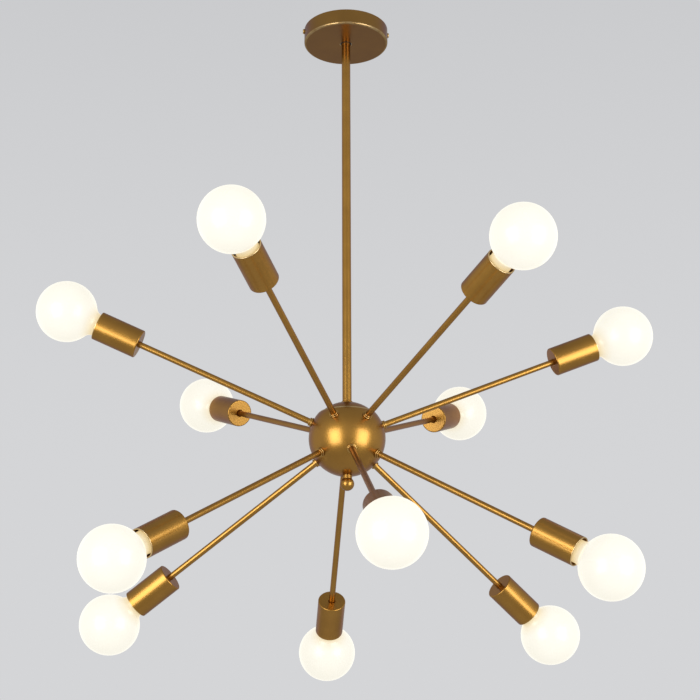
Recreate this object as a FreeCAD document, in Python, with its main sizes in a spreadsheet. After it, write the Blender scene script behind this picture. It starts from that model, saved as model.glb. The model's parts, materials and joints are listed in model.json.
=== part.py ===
"""Sputnik chandelier: twelve tube arms with globe bulbs, screwed round a hollow ball on a rigid stem.

Millimetres. +Z is up and the origin is the middle of the ceiling face, so the light hangs below it.
An arm's own pieces are drawn along +X from the centre of the ball, then turned to that arm's aim.
"""
import FreeCAD, Part
import math
import os
import Sketcher

# Driving sizes, one cell each.
SIZES = {
    # ceiling end
    "canopy_diameter": 117,
    "canopy_height": 22,
    "canopy_wall": 1.2,
    "canopy_edge": 2.5,
    "canopy_hole": 16,
    "bar_width": 20,
    "bar_thickness": 2,
    "bar_bend": 2.5,
    "bar_clearance": 0.3,
    "ear_height": 9,
    "slot_spacing": 80,
    "slot_length": 16,
    "slot_width": 5,
    "side_screw_drop": 4.5,
    "side_screw_diameter": 4,
    "side_screw_length": 8,
    "side_head_diameter": 7,
    "side_head_height": 2.2,
    "side_head_round": 1,
    "screw_clearance": 0.2,
    # stem and threaded rods
    "hub_drop": 603,
    "stem_diameter": 12,
    "stem_wall": 1,
    "stem_grip": 8,
    "stem_top_drop": 14,
    "ring_diameter": 13.6,
    "ring_height": 2,
    "ring_gap": 0.3,
    "rod_bore": 6.4,
    "rod_side_hole": 4,
    "rod_nut_width": 14,
    "rod_nut_height": 4,
    "thread_fit": 0.05,
    # ball
    "hub_diameter": 100,
    "hub_wall": 1.5,
    "seam_angle": 39.8,
    "lid_inset": 0.7,
    "lid_clearance": 0.3,
    "lid_wall": 1.3,
    "seat_diameter": 16,
    "seat_height": 2,
    "finial_diameter": 18,
    "finial_neck_diameter": 12.5,
    "finial_neck": 5,
    "finial_floor": 4,
    # arms
    "arm_diameter": 8,
    "arm_wall": 1,
    "arm_length": 260,
    "arm_stub": 1,
    "arm_hole_clearance": 0.1,
    "arm_nut_width": 11,
    "arm_nut_height": 3.5,
    "collar_diameter": 12.4,
    "collar_waist": 10.2,
    "collar_band": 1.8,
    "collar_groove": 0.7,
    "collar_shoulder": 11.2,
    # how the two rings of six arms are aimed, in degrees
    "ring_step_angle": 60,
    "upper_turn_angle": -30,
    "upper_lift_angle": 22,
    "lower_turn_angle": 0,
    "lower_lift_angle": -32,
    # cups and lampholders
    "cup_diameter": 38,
    "cup_length": 60,
    "cup_wall": 1,
    "cup_corner": 1.5,
    "holder_diameter": 33,
    "holder_wall": 2.5,
    "holder_recess": 8,
    "holder_floor": 6,
    "shell_wall": 0.5,
    "shell_setback": 1,
    "contact_diameter": 12,
    "contact_plate": 1,
    "contact_pin": 5,
    "contact_gap": 0.3,
    "lead_diameter": 2.2,
    "lead_offset": 1.3,
    "lead_inner_end": 7,
    "lead_seat": 1,
    # bulbs
    "globe_diameter": 80,
    "glass_wall": 1,
    "neck_diameter": 29,
    "neck_flare": 12,
    "neck_straight": 6.3,
    "neck_sink": 6,
    "neck_tail": 6,
    "cap_diameter": 26.2,
    "cap_wall": 0.5,
    "cap_fit": 0.1,
    "cap_skirt": 5,
    "cap_pitch": 3.6,
    "cap_thread_depth": 0.8,
    "cap_button": 9,
    "cap_button_height": 1.2,
    "cap_insulator": 3.2,
}

# How far each arm stands off its even place in the ring, in degrees: turn about +Z, then lift.
ARM_SET = (
    (3.3, 0.5), (-2.5, -0.5), (-0.7, 0.4), (-2.5, -0.9), (-2.1, -0.1), (0.0, 1.9),
    (2.3, -0.1), (-1.1, 1.0), (-0.1, -0.7), (-0.9, 0.1), (2.0, -0.5), (2.0, 0.5),
)
ARMS_PER_RING = 6
ARM_COUNT = len(ARM_SET)
THREAD_TURNS = 5
BALL_CENTRE = ("0", "0")
# A point nearer than this to a sketch's axis lies on it.
ON_AXIS = 1e-9

# Places that follow from the driving sizes. An arm's own are distances from the ball's centre.
PLACES = {
    "canopy_radius": "canopy_diameter / 2",
    "canopy_inside": "canopy_radius - canopy_wall",
    "bar_end": "sqrt(canopy_inside ^ 2 - (bar_width / 2) ^ 2) - bar_clearance",
    "rod_radius": "stem_diameter / 2 - stem_wall - thread_fit",
    "rod_nut_corner": "rod_nut_width / 2 / cos(30 deg)",
    "hub_radius": "hub_diameter / 2",
    "hub_inside": "hub_radius - hub_wall",
    "seam_rise": "hub_radius * sin(seam_angle * 1 deg)",
    "hub_mouth": "sqrt(hub_radius ^ 2 - seam_rise ^ 2)",
    "hub_mouth_inside": "sqrt(hub_inside ^ 2 - seam_rise ^ 2)",
    "lid_radius": "hub_inside - lid_clearance",
    "lid_inside": "lid_radius - lid_wall",
    "lid_foot": "seam_rise - lid_inset",
    "rod_hole": "rod_radius + thread_fit",
    "seat_foot": "sqrt(lid_radius ^ 2 - rod_hole ^ 2)",
    "stem_foot": "seat_foot + seat_height",
    "lid_nut_top": "sqrt(lid_inside ^ 2 - rod_nut_corner ^ 2)",
    "floor_nut_foot": "sqrt(hub_inside ^ 2 - rod_nut_corner ^ 2)",
    "finial_seat": "sqrt(hub_radius ^ 2 - rod_hole ^ 2)",
    "finial_radius": "finial_diameter / 2",
    "finial_neck_radius": "finial_neck_diameter / 2",
    "finial_centre": "finial_seat + finial_neck + sqrt(finial_radius ^ 2 - finial_neck_radius ^ 2)",
    "finial_bottom": "finial_centre + finial_radius",
    "rod_foot": "finial_bottom - finial_floor",
    "arm_radius": "arm_diameter / 2",
    "arm_hole": "arm_radius + arm_hole_clearance",
    "arm_thread_hole": "arm_radius + thread_fit",
    "arm_nut_corner": "arm_nut_width / 2 / cos(30 deg)",
    "collar_seat": "sqrt(hub_radius ^ 2 - arm_hole ^ 2)",
    "hub_nut_face": "sqrt(hub_inside ^ 2 - arm_nut_corner ^ 2)",
    "arm_start": "hub_nut_face - arm_nut_height - arm_stub",
    "arm_end": "arm_start + arm_length",
    "cup_nut_top": "arm_end - arm_stub",
    "cup_floor": "cup_nut_top - arm_nut_height",
    "cup_base": "cup_floor - cup_wall",
    "cup_mouth": "cup_base + cup_length",
    "cup_radius": "cup_diameter / 2",
    "cup_bore": "cup_radius - cup_wall",
    "globe_radius": "globe_diameter / 2",
    "globe_inside": "globe_radius - glass_wall",
    "neck_radius": "neck_diameter / 2",
    "neck_inside": "neck_radius - glass_wall",
    "flare_rise": "neck_radius + neck_flare",
    "flare_run": "sqrt((globe_radius + neck_flare) ^ 2 - flare_rise ^ 2)",
    "flare_share": "globe_radius / (globe_radius + neck_flare)",
    "flare_share_inside": "globe_inside / (globe_radius + neck_flare)",
    "neck_end": "cup_mouth - neck_sink",
    "globe_centre": "neck_end + neck_straight + flare_run",
    "cap_radius": "cap_diameter / 2",
    "cap_root": "cap_radius - cap_thread_depth",
    "cap_inside": "cap_root - cap_wall",
    "tail_radius": "cap_inside - cap_fit",
    "tail_end": "neck_end - neck_tail",
    "thread_quarter": "cap_pitch / 4",
    "thread_start": "neck_end - cap_skirt",
    "thread_end": "thread_start - %d * cap_pitch" % THREAD_TURNS,
    "insulator_end": "thread_end - cap_insulator",
    "button_radius": "cap_button / 2",
    "cap_tip": "insulator_end - cap_button_height",
    "holder_radius": "holder_diameter / 2",
    "holder_bore": "holder_radius - holder_wall",
    "holder_mouth": "cup_mouth - holder_recess",
    "holder_base": "cup_nut_top",
    "holder_inside": "holder_base + holder_floor",
    "shell_radius": "holder_bore - thread_fit",
    "shell_mouth": "holder_mouth - shell_setback",
    "contact_top": "cap_tip - contact_gap",
}


def cell_name(column, row):
    """The sheet's name for a cell."""
    return "%s%d" % (column, row)


doc = FreeCAD.newDocument("sputnik_chandelier")
sheet = doc.addObject("Spreadsheet::Sheet", "sizes")


def fill_sheet():
    """Write the driving sizes as plain numbers and the places as formulas, each under its alias."""
    driving = dict(SIZES)
    places = dict(PLACES)
    for index, (turn_set, lift_set) in enumerate(ARM_SET):
        ring = "upper" if index < ARMS_PER_RING else "lower"
        number = index + 1
        driving["turn_set_angle_%02d" % number] = turn_set
        driving["lift_set_angle_%02d" % number] = lift_set
        place = index % ARMS_PER_RING
        places["aim_turn_%02d" % number] = (
            "%s_turn_angle + %d * ring_step_angle + turn_set_angle_%02d" % (ring, place, number))
        places["aim_lift_%02d" % number] = "%s_lift_angle + lift_set_angle_%02d" % (ring, number)
    for row, (alias, value) in enumerate(driving.items(), 1):
        sheet.set(cell_name("A", row), alias)
        sheet.set(cell_name("B", row), str(value))
        sheet.setAlias(cell_name("B", row), alias)
    for row, (alias, formula) in enumerate(places.items(), 1):
        sheet.set(cell_name("D", row), alias)
        sheet.set(cell_name("E", row), "=" + formula)
        sheet.setAlias(cell_name("E", row), alias)
    doc.recompute()


def bind(thing, **formulas):
    """Bind properties of an object to formulas on the sheet's aliases."""
    for name, formula in formulas.items():
        thing.setExpression(name, on_sheet(formula))


def on_sheet(formula):
    """The same formula with each alias written as a reference to the sheet."""
    words = []
    word = ""
    for letter in formula + " ":
        if letter.isalnum() or letter == "_":
            word += letter
            continue
        is_alias = word in SIZES or word in PLACES or word.startswith(("aim_turn_", "aim_lift_"))
        words.append(("sizes." + word if is_alias else word) + letter)
        word = ""
    return "".join(words).strip()


class Corner:
    """One corner of an outline, and the edge that leaves it: straight, or an arc round a given centre.

    turn is 1 where that arc turns left and -1 where it turns right.
    """

    used_rows = 0

    def __init__(self, across, along, centre=None, turn=1):
        Corner.used_rows += 1
        self.cells = (cell_name("G", Corner.used_rows), cell_name("H", Corner.used_rows))
        self.centre_cells = (cell_name("I", Corner.used_rows), cell_name("J", Corner.used_rows))
        self.is_arc = centre is not None
        self.turn = turn
        for cell, formula in zip(self.cells, (across, along)):
            sheet.set(cell, "=" + formula)
        for cell, formula in zip(self.centre_cells, centre or ()):
            sheet.set(cell, "=" + formula)

    def point(self):
        """Where the corner is, from the sheet."""
        return cell_point(self.cells)

    def centre(self):
        """Where the centre of the corner's arc is, from the sheet."""
        return cell_point(self.centre_cells)


class Hole(Corner):
    """The middle of a round hole, with its radius in a cell of its own."""

    def __init__(self, across, along, radius):
        super().__init__(across, along)
        self.radius_cell = self.centre_cells[0]
        sheet.set(self.radius_cell, "=" + radius)

    def radius(self):
        """How wide the hole is, from the sheet."""
        return float(sheet.get(self.radius_cell))


def cell_point(cells):
    """The point whose two coordinates are in two cells."""
    return FreeCAD.Vector(float(sheet.get(cells[0])), float(sheet.get(cells[1])), 0)


def arc_round(centre, start, end, turn):
    """The arc round a centre from start to end, whose own first point is the end where it turns right."""
    first, last = (start, end) if turn > 0 else (end, start)
    circle = Part.Circle(centre, FreeCAD.Vector(0, 0, 1), (start - centre).Length)
    first_angle = math.atan2(first.y - centre.y, first.x - centre.x)
    last_angle = math.atan2(last.y - centre.y, last.x - centre.x)
    if last_angle <= first_angle:
        last_angle += 2 * math.pi
    return Part.ArcOfCircle(circle, first_angle, last_angle)


def pin_point(sketch, edge, end, place, cells, directions="XY"):
    """Tie one point of an edge to its cells, or to the sketch's axis where it lies on one."""
    for direction, value, cell, axis in zip("XY", (place.x, place.y), cells, (-2, -1)):
        if direction not in directions:
            continue
        if abs(value) < ON_AXIS:
            sketch.addConstraint(Sketcher.Constraint("PointOnObject", edge, end, axis))
            continue
        number = sketch.addConstraint(Sketcher.Constraint("Distance" + direction, -1, 1, edge, end, value))
        sketch.setExpression("Constraints[%d]" % number, "sizes." + cell)


def draw_outline(sketch, corners):
    """Draw a closed outline and tie every corner, and every arc's centre, to its cells."""
    sheet.recompute()
    places = [corner.point() for corner in corners]
    edges = []
    for index, corner in enumerate(corners):
        start = places[index]
        end = places[(index + 1) % len(corners)]
        if corner.is_arc:
            edge = sketch.addGeometry(arc_round(corner.centre(), start, end, corner.turn), False)
            edges.append((edge, 1, 2) if corner.turn > 0 else (edge, 2, 1))
        else:
            edge = sketch.addGeometry(Part.LineSegment(start, end), False)
            edges.append((edge, 1, 2))
    for index, (edge, _, last_end) in enumerate(edges):
        next_edge, next_first, _ = edges[(index + 1) % len(edges)]
        sketch.addConstraint(Sketcher.Constraint("Coincident", edge, last_end, next_edge, next_first))
    for index, (corner, (edge, first_end, _)) in enumerate(zip(corners, edges)):
        pin_point(sketch, edge, first_end, places[index], corner.cells)
        if corner.is_arc:
            chord = places[(index + 1) % len(corners)] - places[index]
            across_chord = "X" if abs(chord.y) > abs(chord.x) else "Y"
            pin_point(sketch, edge, 3, corner.centre(), corner.centre_cells, across_chord)


def origin_plane(body, role):
    """One of a body's own origin planes, by its role."""
    return [plane for plane in body.Origin.OriginFeatures if plane.Role == role][0]


def new_body(label):
    """An empty body that carries a node's name."""
    body = doc.addObject("PartDesign::Body", label)
    body.Label = label
    return body


def body_sketch(body, name, role):
    """An empty sketch on one of the body's own origin planes."""
    sketch = body.newObject("Sketcher::SketchObject", name)
    sketch.AttachmentSupport = [(origin_plane(body, role), "")]
    sketch.MapMode = "FlatFace"
    doc.recompute()
    return sketch


def upright_body(label, corners):
    """A body turned about +Z from an outline of (radius, height) corners."""
    body = new_body(label)
    sketch = body_sketch(body, label + "_outline", "XZ_Plane")
    draw_outline(sketch, corners)
    turning = body.newObject("PartDesign::Revolution", label + "_turning")
    turning.Profile = sketch
    turning.ReferenceAxis = (sketch, ["V_Axis"])
    turning.Angle = 360
    doc.recompute()
    return body


def drill(body, name, role, circles):
    """Cut round holes, given as (across, along, radius) formulas, right through the body."""
    before = body.Shape.Volume
    sketch = body_sketch(body, name + "_plan", role)
    for across, along, radius in circles:
        hole = Hole(across, along, radius)
        sheet.recompute()
        circle = Part.Circle(hole.point(), FreeCAD.Vector(0, 0, 1), hole.radius())
        edge = sketch.addGeometry(circle, False)
        number = sketch.addConstraint(Sketcher.Constraint("Radius", edge, circle.Radius))
        sketch.setExpression("Constraints[%d]" % number, "sizes." + hole.radius_cell)
        pin_point(sketch, edge, 3, hole.point(), hole.cells)
    through_cut(body, name, sketch, before)


def through_cut(body, name, sketch, before):
    """Pocket a sketch through the whole body, both ways, and prove that it cut."""
    pocket = body.newObject("PartDesign::Pocket", name)
    pocket.Profile = sketch
    pocket.Type = "ThroughAll"
    pocket.Midplane = True
    doc.recompute()
    if body.Shape.Volume >= before:
        raise ValueError(name + " cuts nothing")


def turned(label, outline):
    """A solid turned about +X from a shared outline of (distance, radius) corners."""
    solid = doc.addObject("Part::Revolution", label)
    solid.Label = label
    solid.Source = outline
    solid.Axis = FreeCAD.Vector(1, 0, 0)
    solid.Base = FreeCAD.Vector(0, 0, 0)
    solid.Angle = 360
    solid.Solid = True
    return solid


def shared_outline(name, corners):
    """A sketch of its own, for solids that are turned from the same outline."""
    sketch = doc.addObject("Sketcher::SketchObject", name)
    draw_outline(sketch, corners)
    return sketch


def cylinder(name, radius, height, **places):
    """A cylinder along its own +Z, bound to the sheet."""
    rod = doc.addObject("Part::Cylinder", name)
    bind(rod, Radius=radius, Height=height)
    for axis, formula in places.items():
        rod.setExpression("Placement.Base." + axis, on_sheet(formula))
    return rod


def hex_prism(name, corner, height, **places):
    """A hexagonal prism along its own +Z, sized over its corners and bound to the sheet."""
    prism = doc.addObject("Part::Prism", name)
    prism.Polygon = 6
    bind(prism, Circumradius=corner, Height=height)
    for axis, formula in places.items():
        prism.setExpression("Placement.Base." + axis, on_sheet(formula))
    return prism


def cut(name, base, tool):
    """One solid with another cut out of it."""
    result = doc.addObject("Part::Cut", name)
    result.Base = base
    result.Tool = tool
    return result


def group(label, pieces):
    """One node that holds several separate solids."""
    compound = doc.addObject("Part::Compound", label)
    compound.Label = label
    compound.Links = pieces
    return compound


def along_x(thing):
    """Lay a primitive that stands on +Z along +X, at the place that it has been given."""
    thing.Placement = FreeCAD.Placement(thing.Placement.Base, FreeCAD.Rotation(FreeCAD.Vector(0, 1, 0), 90))
    return thing


def arm_placement(number):
    """The formula that turns +X at the ball's centre to the aim of one arm."""
    turn = "sizes.aim_turn_%02d - 90" % number
    lift = "-sizes.aim_lift_%02d" % number
    return "placement(vector(0; 0; -sizes.hub_drop); rotation(%s; %s; 0))" % (turn, lift)


def aim(thing, number):
    """Turn a piece that is drawn along +X from the ball's centre to its arm."""
    thing.setExpression("Placement", arm_placement(number))
    return thing


def hang(thing):
    """Place a piece that is drawn round the ball's centre."""
    thing.setExpression("Placement.Base.z", "-sizes.hub_drop")
    return thing


def make_canopy():
    """Spun cover against the ceiling, with a stem hole and two side screw holes."""
    edge_centre = ("canopy_radius - canopy_edge", "-canopy_height + canopy_edge")
    body = upright_body("canopy", [
        Corner("canopy_radius", "0"),
        Corner("canopy_inside", "0"),
        Corner("canopy_inside", "-canopy_height + canopy_edge", edge_centre, -1),
        Corner("canopy_radius - canopy_edge", "-canopy_height + canopy_wall"),
        Corner("canopy_hole / 2", "-canopy_height + canopy_wall"),
        Corner("canopy_hole / 2", "-canopy_height"),
        Corner("canopy_radius - canopy_edge", "-canopy_height", edge_centre, 1),
        Corner("canopy_radius", "-canopy_height + canopy_edge"),
    ])
    drill(body, "canopy_screw_holes", "YZ_Plane", [
        ("0", "-side_screw_drop", "side_screw_diameter / 2 + screw_clearance"),
    ])
    return body


def make_crossbar():
    """Folded steel strap under the junction box, with slots, a threaded centre and two tapped ears."""
    body = new_body("ceiling_crossbar")
    profile = body_sketch(body, "crossbar_profile", "XZ_Plane")
    inner = "bar_end - bar_thickness"
    right_bend = ("bar_end - bar_bend", "-bar_bend")
    left_bend = ("-bar_end + bar_bend", "-bar_bend")
    draw_outline(profile, [
        Corner("bar_end - bar_bend", "0"),
        Corner("-bar_end + bar_bend", "0", left_bend, 1),
        Corner("-bar_end", "-bar_bend"),
        Corner("-bar_end", "-ear_height"),
        Corner("-(" + inner + ")", "-ear_height"),
        Corner("-(" + inner + ")", "-bar_bend", left_bend, -1),
        Corner("-bar_end + bar_bend", "-bar_thickness"),
        Corner("bar_end - bar_bend", "-bar_thickness", right_bend, -1),
        Corner(inner, "-bar_bend"),
        Corner(inner, "-ear_height"),
        Corner("bar_end", "-ear_height"),
        Corner("bar_end", "-bar_bend", right_bend, 1),
    ])
    strap = body.newObject("PartDesign::Pad", "crossbar_strap")
    strap.Profile = profile
    strap.Midplane = True
    bind(strap, Length="bar_width")
    doc.recompute()
    drill(body, "crossbar_centre_hole", "XY_Plane", [("0", "0", "rod_hole")])
    drill(body, "crossbar_ear_holes", "YZ_Plane", [("0", "-side_screw_drop", "side_screw_diameter / 2")])
    before = body.Shape.Volume
    slots = body_sketch(body, "crossbar_slots_plan", "XY_Plane")
    half_width = "slot_width / 2"
    for side in ("", "-"):
        inner_end = side + "slot_spacing / 2 - (slot_length - slot_width) / 2"
        outer_end = side + "slot_spacing / 2 + (slot_length - slot_width) / 2"
        draw_outline(slots, [
            Corner(inner_end, "-" + half_width),
            Corner(outer_end, "-" + half_width, (outer_end, "0"), 1),
            Corner(outer_end, half_width),
            Corner(inner_end, half_width, (inner_end, "0"), 1),
        ])
    through_cut(body, "crossbar_slots", slots, before)
    return body


def make_side_screws():
    """Two round-headed screws that hold the canopy to the ears."""
    head_radius = "side_head_diameter / 2"
    shank_radius = "side_screw_diameter / 2 - thread_fit"
    head_top = "canopy_radius + side_head_height"
    outline = shared_outline("side_screw_outline", [
        Corner("canopy_radius - side_screw_length", "0"),
        Corner(head_top, "0"),
        Corner(head_top, head_radius + " - side_head_round",
               (head_top + " - side_head_round", head_radius + " - side_head_round"), 1),
        Corner(head_top + " - side_head_round", head_radius),
        Corner("canopy_radius", head_radius),
        Corner("canopy_radius", shank_radius),
        Corner("canopy_radius - side_screw_length", shank_radius),
    ])
    screws = []
    for number, turn in ((1, 0), (2, 180)):
        screw = turned("side_screw_%d" % number, outline)
        lay = "placement(vector(0; 0; -sizes.side_screw_drop); rotation(%d; 0; 0))" % turn
        screw.setExpression("Placement", lay)
        screws.append(screw)
    return group("canopy_side_screws", screws)


def make_stem():
    """Rigid drop tube from inside the canopy down to the seat on the lid."""
    length = "hub_drop - stem_top_drop - stem_foot"
    outer = cylinder("stem_outside", "stem_diameter / 2", length, z="stem_foot - hub_drop")
    bore = cylinder("stem_bore", "stem_diameter / 2 - stem_wall", length, z="stem_foot - hub_drop")
    stem = cut("stem_tube", outer, bore)
    stem.Label = "stem_tube"
    return stem


def bored(name, outer, radius, height, **places):
    """A solid with a round bore along +Z, from the same foot."""
    bore = cylinder(name + "_bore", radius, height, **places)
    return cut(name, outer, bore)


def make_stem_fixings():
    """Upper and lower threaded rods, their three hex nuts, the seat washer and the ring under the canopy."""
    nut_places = {
        "crossbar_nut": "-bar_thickness - rod_nut_height",
        "lid_nut": "lid_nut_top - rod_nut_height - hub_drop",
        "floor_nut": "-floor_nut_foot - hub_drop",
    }
    pieces = []
    for name, foot in nut_places.items():
        prism = hex_prism(name + "_prism", "rod_nut_corner", "rod_nut_height", z=foot)
        pieces.append(bored(name, prism, "rod_hole", "rod_nut_height", z=foot))

    upper_length = "stem_top_drop + stem_grip"
    upper_foot = "-stem_top_drop - stem_grip"
    upper = cylinder("upper_rod_outside", "rod_radius", upper_length, z=upper_foot)
    pieces.append(bored("upper_rod", upper, "rod_bore / 2", upper_length, z=upper_foot))

    lower_length = "stem_foot + stem_grip + rod_foot"
    lower = cylinder("lower_rod_outside", "rod_radius", lower_length, z="-rod_foot - hub_drop")
    tube = bored("lower_rod_tube", lower, "rod_bore / 2", lower_length, z="-rod_foot - hub_drop")
    wire_hole = cylinder("wire_hole", "rod_side_hole / 2", "rod_radius * 2", z="-hub_drop")
    wire_hole.setExpression("Placement.Base.y", on_sheet("rod_radius"))
    wire_hole.setExpression("Placement.Rotation", "rotation(0; 0; 90)")
    pieces.append(cut("lower_rod", tube, wire_hole))

    washer = cylinder("seat_outside", "seat_diameter / 2", "seat_height", z="seat_foot - hub_drop")
    pieces.append(bored("stem_seat", washer, "rod_hole", "seat_height", z="seat_foot - hub_drop"))
    ring_foot = "-canopy_height - ring_gap - ring_height"
    ring = cylinder("ring_outside", "ring_diameter / 2", "ring_height", z=ring_foot)
    pieces.append(bored("stem_ring", ring, "stem_diameter / 2 + thread_fit", "ring_height", z=ring_foot))
    return group("stem_fixings", pieces)


def arm_tools(name, radius, start, length):
    """A cylinder on every arm's line, as one compound for cutting."""
    tools = []
    for number in range(1, ARM_COUNT + 1):
        outline_tool = turned("%s_%02d" % (name, number), rod_outline(name, radius, start, length))
        tools.append(aim(outline_tool, number))
    return group(name, tools)


def rod_outline(name, radius, start, length):
    """The half section of a plain round rod along +X, drawn once for each name."""
    found = doc.getObject(name + "_outline")
    if found:
        return found
    end = start + " + " + length
    return shared_outline(name + "_outline", [
        Corner(start, "0"), Corner(end, "0"), Corner(end, radius), Corner(start, radius),
    ])


def make_hub():
    """Hollow ball, open at the top for the lid and drilled for the finial and the arms."""
    shell = upright_body("hub_shell", [
        Corner("rod_hole", "-sqrt(hub_radius ^ 2 - rod_hole ^ 2)", BALL_CENTRE, 1),
        Corner("hub_mouth", "seam_rise"),
        Corner("hub_mouth_inside", "seam_rise", BALL_CENTRE, -1),
        Corner("rod_hole", "-sqrt(hub_inside ^ 2 - rod_hole ^ 2)"),
    ])
    hang(shell)
    holes = arm_tools("arm_holes", "arm_hole", "arm_start", "hub_radius")
    ball = cut("hub_ball", shell, holes)
    ball.Label = "hub_ball"
    return ball


def make_lid():
    """Shallow dome that closes the ball and is clamped between the seat and a nut."""
    return hang(upright_body("hub_lid", [
        Corner("sqrt(lid_radius ^ 2 - lid_foot ^ 2)", "lid_foot", BALL_CENTRE, 1),
        Corner("rod_hole", "sqrt(lid_radius ^ 2 - rod_hole ^ 2)"),
        Corner("rod_hole", "sqrt(lid_inside ^ 2 - rod_hole ^ 2)", BALL_CENTRE, -1),
        Corner("sqrt(lid_inside ^ 2 - lid_foot ^ 2)", "lid_foot"),
    ]))


def make_finial():
    """Ball nut on a short neck that holds the ball up on the lower rod."""
    return hang(upright_body("hub_finial", [
        Corner("0", "-finial_bottom", ("0", "-finial_centre"), 1),
        Corner("finial_neck_radius", "-finial_seat - finial_neck"),
        Corner("finial_neck_radius", "-finial_seat"),
        Corner("rod_hole", "-finial_seat"),
        Corner("rod_hole", "-rod_foot"),
        Corner("0", "-rod_foot"),
    ]))


def tube_outline(name, start, end, outer, inner):
    """The half section of a plain tube along +X."""
    return shared_outline(name, [
        Corner(start, inner), Corner(end, inner), Corner(end, outer), Corner(start, outer),
    ])


def make_arm_nuts():
    """On each arm: a grooved collar outside the ball, a hex nut inside it and a hex nut in the cup."""
    band_end = "collar_seat + collar_band"
    groove_end = band_end + " + collar_groove"
    collar_end = groove_end + " + collar_band"
    collar = shared_outline("collar_outline", [
        Corner("collar_seat", "arm_thread_hole"),
        Corner(collar_end, "arm_thread_hole"),
        Corner(collar_end, "collar_shoulder / 2"),
        Corner(groove_end, "collar_shoulder / 2"),
        Corner(groove_end, "collar_waist / 2"),
        Corner(band_end, "collar_waist / 2"),
        Corner(band_end, "collar_diameter / 2"),
        Corner("collar_seat", "collar_diameter / 2"),
    ])
    nut_feet = {"ball_nut": "hub_nut_face - arm_nut_height", "cup_nut": "cup_floor"}
    pieces = []
    for number in range(1, ARM_COUNT + 1):
        pieces.append(aim(turned("arm_collar_%02d" % number, collar), number))
        for name, foot in nut_feet.items():
            label = "%s_%02d" % (name, number)
            prism = along_x(hex_prism(label + "_prism", "arm_nut_corner", "arm_nut_height", x=foot))
            hole = along_x(cylinder(label + "_bore", "arm_thread_hole", "arm_nut_height", x=foot))
            pieces.append(aim(cut(label, prism, hole), number))
    return group("arm_lock_nuts", pieces)


def make_leads():
    """A pair of insulated wires down each arm and another pair down the stem, all to the middle of the ball."""
    lead_end = "holder_inside - lead_seat"
    length = lead_end + " - lead_inner_end"
    pieces = []
    for number in range(1, ARM_COUNT + 1):
        for side, sign in (("live", ""), ("neutral", "-")):
            lead = cylinder("%s_lead_%02d" % (side, number), "lead_diameter / 2", length)
            start = "placement(vector(sizes.lead_inner_end; %ssizes.lead_offset; 0); rotation(0; 90; 0))" % sign
            lead.setExpression("Placement", arm_placement(number) + " * " + start)
            pieces.append(lead)
    supply_length = "hub_drop - bar_thickness"
    for side, sign in (("live", ""), ("neutral", "-")):
        supply = cylinder("%s_supply_lead" % side, "lead_diameter / 2", supply_length, z="-hub_drop")
        supply.setExpression("Placement.Base.x", sign + "sizes.lead_offset")
        pieces.append(supply)
    return group("lamp_leads", pieces)


def arm_outlines():
    """The shared outlines of every turned piece that is repeated on the arms."""
    outlines = {}
    corner_centre = ("cup_base + cup_corner", "cup_radius - cup_corner")
    globe_middle = ("globe_centre", "0")
    flare_middle = ("globe_centre - flare_run", "flare_rise")
    outlines["arm_tube"] = tube_outline(
        "arm_tube_outline", "arm_start", "arm_end", "arm_radius", "arm_radius - arm_wall")
    outlines["lamp_cup"] = shared_outline("cup_outline", [
        Corner("cup_base", "arm_thread_hole"),
        Corner("cup_floor", "arm_thread_hole"),
        Corner("cup_floor", "cup_radius - cup_corner", corner_centre, -1),
        Corner("cup_base + cup_corner", "cup_bore"),
        Corner("cup_mouth", "cup_bore"),
        Corner("cup_mouth", "cup_radius"),
        Corner("cup_base + cup_corner", "cup_radius", corner_centre, 1),
        Corner("cup_base", "cup_radius - cup_corner"),
    ])
    outlines["holder"] = shared_outline("holder_outline", [
        Corner("holder_base", "arm_hole"),
        Corner("holder_inside", "arm_hole"),
        Corner("holder_inside", "holder_bore"),
        Corner("holder_mouth", "holder_bore"),
        Corner("holder_mouth", "holder_radius"),
        Corner("holder_base", "holder_radius"),
    ])
    outlines["screw_shell"] = tube_outline(
        "screw_shell_outline", "holder_inside", "shell_mouth", "shell_radius", "shell_radius - shell_wall")
    outlines["contact"] = shared_outline("contact_outline", [
        Corner("holder_inside", "0"),
        Corner("contact_top", "0"),
        Corner("contact_top", "contact_pin / 2"),
        Corner("holder_inside + contact_plate", "contact_pin / 2"),
        Corner("holder_inside + contact_plate", "contact_diameter / 2"),
        Corner("holder_inside", "contact_diameter / 2"),
    ])
    outlines["globe"] = shared_outline("globe_outline", [
        Corner("globe_centre + globe_radius", "0", globe_middle, 1),
        Corner("globe_centre - flare_run * flare_share", "flare_rise * flare_share", flare_middle, -1),
        Corner("globe_centre - flare_run", "neck_radius"),
        Corner("neck_end", "neck_radius"),
        Corner("neck_end", "tail_radius"),
        Corner("tail_end", "tail_radius"),
        Corner("tail_end", "tail_radius - glass_wall"),
        Corner("neck_end + glass_wall", "tail_radius - glass_wall"),
        Corner("neck_end + glass_wall", "neck_inside"),
        Corner("globe_centre - flare_run", "neck_inside", flare_middle, 1),
        Corner("globe_centre - flare_run * flare_share_inside", "flare_rise * flare_share_inside",
               globe_middle, -1),
        Corner("globe_centre + globe_inside", "0"),
    ])
    outlines["cap"] = shared_outline("cap_outline", cap_corners())
    outlines["insulator"] = shared_outline("insulator_outline", [
        Corner("insulator_end", "0"),
        Corner("thread_end", "0"),
        Corner("thread_end", "cap_root"),
        Corner("insulator_end", "button_radius"),
    ])
    outlines["button"] = shared_outline("button_outline", [
        Corner("cap_tip", "0"),
        Corner("insulator_end", "0"),
        Corner("insulator_end", "button_radius"),
        Corner("cap_tip", "button_radius - cap_button_height"),
    ])
    return outlines


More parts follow.
